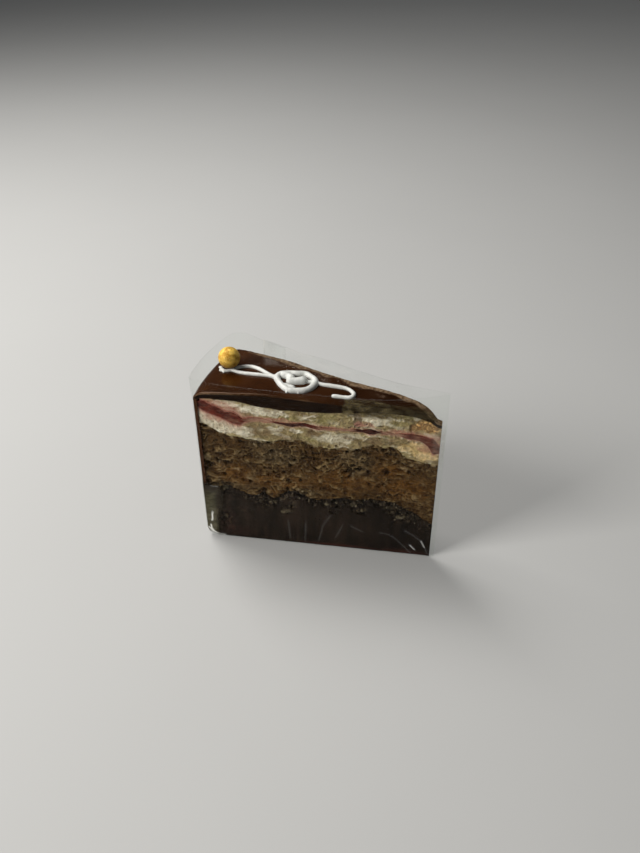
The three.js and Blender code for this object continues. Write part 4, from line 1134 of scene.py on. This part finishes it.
crumb_finish, tree, shader, place = new_finish("loose_crumb")
fine = grain(tree, place, 2200, detail=4)
tint = read_mark(tree, "tint")
colour = mixed(tree, fine, (0.016, 0.0110, 0.0070), (0.055, 0.039, 0.0250))
tan_crumb = mixed(tree, fine, (0.055, 0.037, 0.020), (0.14, 0.100, 0.058))
colour = mixed(tree, between(tree, tint, 0.70, 0.76), colour, tan_crumb)
pale_crumb = mixed(tree, fine, (0.14, 0.112, 0.070), (0.29, 0.240, 0.160))
colour = mixed(tree, between(tree, tint, 0.94, 0.96), colour, pale_crumb)
dress(tree, shader, colour, between(tree, fine, 0.3, 0.7, 0.6, 0.9), 0.15)
raised(tree, shader, fine, 0.0003, 0.6)


def random_value(tree, seed, kind, limits=None):
    """Node that gives each point a random number or vector between two limits."""
    return make_node(tree, "FunctionNodeRandomValue", {**(limits or {}), "Seed": seed}, data_type=kind)


scatter, given, result = geometry_group("crumb_scatter", "Crumb Density", "Smallest Crumb", "Largest Crumb")
loose = make_node(scatter, "GeometryNodeInputNamedAttribute", {"Name": "loose"}, data_type="FLOAT")
density = sums(scatter, "MULTIPLY", loose.outputs[0], given["Crumb Density"])
place_inputs = {"Mesh": given["Geometry"], "Density": density, "Seed": 5}
places = make_node(scatter, "GeometryNodeDistributePointsOnFaces", place_inputs)
crumb = make_node(scatter, "GeometryNodeMeshUVSphere", {"Segments": 7, "Rings": 5, "Radius": 1.0})
turn = random_value(scatter, 6, "FLOAT_VECTOR", {"Min": (0, 0, 0), "Max": (6.28, 6.28, 6.28)})
size = random_value(scatter, 7, "FLOAT", {2: given["Smallest Crumb"], 3: given["Largest Crumb"]}).outputs[1]
squat = random_value(scatter, 8, "FLOAT_VECTOR", {"Min": (0.7, 0.55, 0.6), "Max": (1.1, 1.0, 1.0)})
scale = make_node(scatter, "ShaderNodeVectorMath", {0: squat, "Scale": size}, operation="SCALE")
crumb_inputs = {"Points": places, "Instance": crumb, "Rotation": turn, "Scale": scale}
strewn = make_node(scatter, "GeometryNodeInstanceOnPoints", crumb_inputs)
tint_inputs = {"Geometry": strewn, "Name": "tint", "Value": random_value(scatter, 9, "FLOAT").outputs[1]}
tinted = make_node(scatter, "GeometryNodeStoreNamedAttribute", tint_inputs,
                   data_type="FLOAT", domain="INSTANCE")
real = make_node(scatter, "GeometryNodeRealizeInstances", {"Geometry": tinted})
lumps = make_node(scatter, "ShaderNodeTexNoise", {"Scale": 2600.0, "Detail": 1.0}).outputs["Color"]
centred = make_node(scatter, "ShaderNodeVectorMath", {0: lumps, 1: (0.5, 0.5, 0.5)}, operation="SUBTRACT")
offset = make_node(scatter, "ShaderNodeVectorMath", {0: centred, "Scale": 0.0003}, operation="SCALE")
lumpy = make_node(scatter, "GeometryNodeSetPosition", {"Geometry": real, "Offset": offset})
smooth = make_node(scatter, "GeometryNodeSetShadeSmooth", {"Geometry": lumpy})
painted = make_node(scatter, "GeometryNodeSetMaterial", {"Geometry": smooth, "Material": crumb_finish})
scatter.links.new(painted.outputs[0], result)

crumb_values = {"Crumb Density": 0.9e6, "Smallest Crumb": 0.2 * MM, "Largest Crumb": 0.55 * MM}
crumbs = plain_mesh(dark_base, "loose_crumbs", scatter, crumb_values)
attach(crumbs, "root")

# Film collar
# One strip of clear thin plastic film round the rim, both cut faces and the tip, its ends lapped at the back.
# It stands a few millimetres above the glaze, is creased at the tip and tucked in a little under the rim.

FILM_WALL = 0.3
FILM_CLEARANCE = 0.3
FILM_BOTTOM = 0.4
film_top_front = profile((0, 83.6), (12, 81.8), (45, 80.6), (76, 80.8), (92, 83), (100, 85.2))
film_top_back = profile(
    (0, 82.3), (7, 84.2), (16, 83.5), (25, 83), (34, 82.8), (46, 83.4), (60, 82.9), (80, 83), (100, 85.2))
LAP_OUTER_END, LAP_INNER_END, LAP_RAMP, LAP_SPARE = 15.5, 27.0, 5.0, 2.0
TUCK_DEPTH, TUCK_HEIGHT, TUCK_ALONG = 2.0, 4.5, 12.0
FOLD_RADIUS = 0.15
FILM_CORNER = 0.5
LAP_LIFT = 0.7
LINE_WIDTH = 0.3
FRONT_SIDE, RIM_SIDE, BACK_SIDE, FOLD_SIDE = -1, 0, 1, 2


def film_path():
    """Stations of the strip from its inner end at the back, round rim, front and tip, to its outer end."""
    rim_inside = CAKE_RADIUS + FILM_CLEARANCE
    path = []

    def face_station(side, along, lift):
        outward = np.array([math.sin(HALF_ANGLE), side * math.cos(HALF_ANGLE)])
        radial = np.array([-math.cos(HALF_ANGLE), side * math.sin(HALF_ANGLE)])
        spot = np.array([TIP_X, 0]) + radial * (rim_inside - along) + outward * (FILM_CLEARANCE + lift)
        top = film_top_front(along) if side == FRONT_SIDE else film_top_back(along)
        path.append((spot, outward, float(top), max(0, 1 - along / TUCK_ALONG) ** 2, along, side))

    for along in np.linspace(LAP_INNER_END, FILM_CORNER, 45):
        face_station(BACK_SIDE, along, 0)
    rim_turn = HALF_ANGLE - FILM_CORNER / rim_inside
    for share in np.linspace(0, 1, 60):
        angle = rim_turn * (1 - 2 * share)
        outward = np.array([-math.cos(angle), math.sin(angle)])
        top = float(film_top_back(0.0)) * (1 - share) + float(film_top_front(0.0)) * share
        path.append((np.array([TIP_X, 0]) + outward * rim_inside, outward, top, 1.0, 0.0, RIM_SIDE))
    flat_end = rim_inside + (FILM_CLEARANCE - FOLD_RADIUS) / math.tan(HALF_ANGLE)
    for along in np.linspace(FILM_CORNER, flat_end, 200):
        face_station(FRONT_SIDE, along, 0)
    fold_centre = np.array([TIP_X + (FILM_CLEARANCE - FOLD_RADIUS) / math.sin(HALF_ANGLE), 0])
    fold_turn = math.pi / 2 - HALF_ANGLE
    fold_top = float(film_top_front(CAKE_RADIUS))
    for angle in np.linspace(-fold_turn, fold_turn, 9)[1:-1]:
        outward = np.array([math.cos(angle), math.sin(angle)])
        path.append((fold_centre + outward * FOLD_RADIUS, outward, fold_top, 0.0, CAKE_RADIUS, FOLD_SIDE))
    lap_start = LAP_INNER_END + LAP_SPARE
    for along in np.linspace(flat_end, lap_start + LAP_RAMP, 110):
        face_station(BACK_SIDE, along, 0)
    for along in np.linspace(lap_start, LAP_OUTER_END, 24):
        face_station(BACK_SIDE, along, LAP_LIFT)
    return path


def near_lines(along, height, lines):
    """How near points on a face lie to the nearest of some drawn lines, 1 on it and fading to 0."""
    nearest = np.full(along.shape, 1e6)
    for line in lines:
        for (a0, h0), (a1, h1) in zip(line[:-1], line[1:]):
            length = (a1 - a0) ** 2 + (h1 - h0) ** 2
            t = clamped(((along - a0) * (a1 - a0) + (height - h0) * (h1 - h0)) / length)
            nearest = np.minimum(nearest, np.hypot(along - a0 - t * (a1 - a0), height - h0 - t * (h1 - h0)))
    return np.exp(-(nearest / LINE_WIDTH) ** 2)


FILM_CREASES = [
    [(87.4, 14.0), (91.4, 12.2), (95.5, 8.6), (96.8, 5.8), (98.6, 1.8)],
    [(77.2, 11.5), (81.2, 11.0), (84.3, 8.8), (87.9, 5.1), (91.2, 1.3)],
    [(90.7, 5.8), (92.8, 3.4)],
    [(44.6, 2.0), (45.2, 13.0)],
    [(61.0, 13.0), (58.2, 6.0)],
    [(50.8, 3.0), (52.6, 12.0), (55.6, 18.0)],
    [(64.6, 13.4), (70.0, 11.0)],
    [(38.0, 3.5), (37.4, 13.0)],
]
FILM_GLINTS = [
    [(95.3, 8.9), (96.9, 5.4)], [(90.7, 5.8), (92.8, 3.4)], [(3.3, 13.5), (2.7, 8.6)],
    [(2.0, 6.1), (2.4, 2.5)], [(1.0, 4.6), (2.2, 2.6), (4.6, 1.2), (8.0, 0.8)],
]

columns = zip(*film_path())
spots_on_plan, outward, tops, tucks, film_along, film_side = (np.array(values) for values in columns)
film_rows = [np.linspace(0, 0.16, 28), np.linspace(0.16, 0.86, 36)[1:], np.linspace(0.86, 1, 26)[1:]]
film_rows = np.concatenate(film_rows)
film_height = FILM_BOTTOM + film_rows[None] * (tops[:, None] - FILM_BOTTOM)
low = clamped(1 - (film_height - FILM_BOTTOM) / TUCK_HEIGHT)
to_tip = np.array([TIP_X, 0]) - spots_on_plan
to_tip = to_tip / np.linalg.norm(to_tip, axis=1)[:, None]
inner_wall = spots_on_plan[:, None] + to_tip[:, None] * (TUCK_DEPTH * low ** 2 * tucks[:, None])[..., None]
along_wide = np.repeat(film_along[:, None], len(film_rows), 1)
side_wide = np.repeat(film_side[:, None], len(film_rows), 1)
front_film = side_wide == FRONT_SIDE
crease = near_lines(along_wide, film_height, FILM_CREASES) * front_film
glint = near_lines(along_wide, film_height, FILM_GLINTS) * front_film
strip_place = np.concatenate([inner_wall, film_height[..., None]], -1)
slack = waves(strip_place * (1, 1, 0.5), 9, 95, 2) * clamped((film_height - 76) / 4)
ripple = 0.22 * crease + 0.35 * slack * (side_wide != FOLD_SIDE)
inner_wall = inner_wall + outward[:, None] * ripple[..., None]
walls = (inner_wall, inner_wall + outward[:, None] * FILM_WALL)
film_points = np.stack([np.concatenate([wall, film_height[..., None]], -1) for wall in walls])
inside = np.arange(film_height.size).reshape(film_height.shape)
outside = inside + film_height.size
film_faces = [quads(outside), quads(inside[::-1]),
              quads(np.stack([inside[:, 0], outside[:, 0]], 1)),
              quads(np.stack([outside[:, -1], inside[:, -1]], 1)),
              quads(np.stack([inside[0], outside[0]])),
              quads(np.stack([outside[-1], inside[-1]]))]
from_top = tops[:, None] - film_height
edge_mark = clamped(1 - from_top / 0.35)
edge_mark = np.maximum(edge_mark, clamped(1 - (film_height - FILM_BOTTOM) / 0.5))
edge_mark[0] = edge_mark[-1] = 1
smear_top = profile(
    (59, 79.3), (63.1, 79.7), (67, 80), (70.8, 80.2), (74.7, 80), (76.6, 79.4), (78.5, 79.1), (82.4, 78.6),
    (90, 78.4), (93.9, 76.9), (96.7, 74.8), (99, 72))
ragged = waves(strip_place, 1.8, 96, 3) - 0.5
smear_mark = clamped((along_wide - 60.4 + 4.5 * ragged) / 0.8) * clamped((film_height - 71.2) / 2.0)
smear_mark = smear_mark * clamped((smear_top(along_wide) + 0.8 * ragged - film_height) / 0.5) * front_film
smear_mark = smear_mark * (1 - 0.55 * clamped((along_wide - 77) / 4)) * clamped((99 - along_wide) / 3)
wiped = clamped(1.6 - np.abs(along_wide - 66.2) / 1.2) * clamped((75.5 - film_height) / 1.5)
smear_mark = smear_mark * (1 - 0.85 * wiped)
round_rim = np.where(side_wide == RIM_SIDE, inner_wall[..., 1] + RIM_HALF_WIDTH, 99)
at_corner = np.where(front_film, along_wide, round_rim)
patch_end = np.interp(film_height, [10, 18], [6.6, 10])
patch = np.where(front_film, (patch_end + 2 * ragged - at_corner) / 2.4, (8.5 + 7 * ragged - at_corner) / 7)
patch = clamped(patch) * clamped((film_height - 1) / 3)
patch_mark = patch * clamped((30.6 + 1.2 * ragged - film_height) / 1.6)
# A pale zone on the film at the tip, from 50 to 72 mm up: painted reflection of the film's fold there.
tip_reflection_mark = front_film * clamped((along_wide - 95.6) / 1.6) * clamped((film_height - 50) / 6)
tip_reflection_mark = tip_reflection_mark * clamped((72 - film_height) / 5) * (0.6 + 0.8 * ragged)
behind = (side_wide == BACK_SIDE) & (along_wide > 15)
hazy = behind * clamped(waves(strip_place * (1, 1, 0.6), 5.0, 97, 3) * 1.8 - 0.4)
marks = {"edge": edge_mark, "crease": crease, "glint": glint, "smear": smear_mark, "hazy": hazy,
         "patch": patch_mark, "tip_reflection": tip_reflection_mark, "past_corner": clamped((at_corner + 2 * ragged - 4.2) / 2)}
one_sided = ("smear", "glint", "patch", "tip_reflection")
marks = {name: np.concatenate([values.ravel(), values.ravel() * (name not in one_sided)])
         for name, values in marks.items()}

clear_film, tree, shader, place = new_finish("clear_film")
spotty = grain(tree, place, 620, (0.45, 0.45, 1), detail=4)
smeared = sums(tree, "MULTIPLY", between(tree, spotty, 0.25, 0.55, 0.55, 1.0), read_mark(tree, "smear"))
glinting = read_mark(tree, "glint")
smear_tint = mixed(tree, between(tree, spotty, 0.40, 0.64), (0.038, 0.0255, 0.0092), (0.150, 0.116, 0.0560))
colour = mixed(tree, between(tree, smeared, 0.0, 0.05), (0.95, 0.96, 0.96), smear_tint)
patchy = read_mark(tree, "patch")
spread = between(tree, spotty, 0.38, 0.64)
upper_patch = mixed(tree, spread, (0.044, 0.0375, 0.0180), (0.095, 0.0835, 0.0450))
lower_patch = mixed(tree, spread, (0.074, 0.0640, 0.0380), (0.152, 0.134, 0.0860))
dark_patch = mixed(tree, spread, (0.0145, 0.0096, 0.0056), (0.035, 0.0235, 0.0140))
film_level = coordinate(tree, place, "Z")
patch_tint = mixed(tree, between(tree, film_level, 8 * MM, 19 * MM), lower_patch, upper_patch)
# Near the sponge the patch turns dark: painted shade of the gap under the rim coat. Past the corner it takes
# the dark base's colour.
gap_shade_band = between(tree, film_level, 23.5 * MM, 27 * MM)
base_tint_and_gap_shade = sums(tree, "MAXIMUM", read_mark(tree, "past_corner"), gap_shade_band)
patch_tint = mixed(tree, sums(tree, "MULTIPLY", base_tint_and_gap_shade, 0.9), patch_tint, dark_patch)
colour = mixed(tree, between(tree, patchy, 0.0, 0.05), colour, patch_tint)
# The tip reflection is painted as a pale, partly opaque tint on the film.
painted_tip_reflection = read_mark(tree, "tip_reflection")
colour = mixed(tree, between(tree, painted_tip_reflection, 0.0, 0.05), colour, (0.42, 0.36, 0.30))
colour = mixed(tree, between(tree, glinting, 0.15, 0.6), colour, (0.95, 0.93, 0.88))
tree.links.new(colour, shader.inputs["Base Color"])
coated = smeared
for mark in (glinting, patchy, painted_tip_reflection):
    coated = sums(tree, "MAXIMUM", coated, mark)
tree.links.new(between(tree, coated, 0.0, 0.05, 1.0, 0.0), shader.inputs["Metallic"])
shader.inputs["Roughness"].default_value = 0.10
shader.inputs["Specular IOR Level"].default_value = 0.12
facing = make_node(tree, "ShaderNodeLayerWeight", {"Blend": 0.5}).outputs["Facing"]
grazing = sums(tree, "POWER", facing, 5.0)
droplets = between(tree, grain(tree, place, 1700, detail=2), 0.64, 0.72, 0.03, 0.28)
cover = weighted(tree, (grazing, 0.26), (1.0, 0.002), (read_mark(tree, "edge"), 0.05),
                 (read_mark(tree, "crease"), 0.05), (glinting, 0.55), (smeared, 0.82), (patchy, 0.985),
                 (painted_tip_reflection, 0.30), (read_mark(tree, "hazy"), droplets))
gap = make_node(tree, "ShaderNodeBsdfTransparent", {"Color": (0.985, 0.99, 0.985, 1)})
sheer = make_node(tree, "ShaderNodeMixShader", {0: cover, 1: gap, 2: shader})
tree.links.new(sheer.outputs[0], tree.nodes["Material Output"].inputs["Surface"])
raised(tree, shader, grain(tree, place, 120, detail=2), 0.0006, 0.15)

film_faces = np.concatenate(film_faces).tolist()
film = food_piece("clear_film_collar", film_points.reshape(-1, 3), film_faces, marks, clear_film, 40)
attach(film, "root")
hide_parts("film")
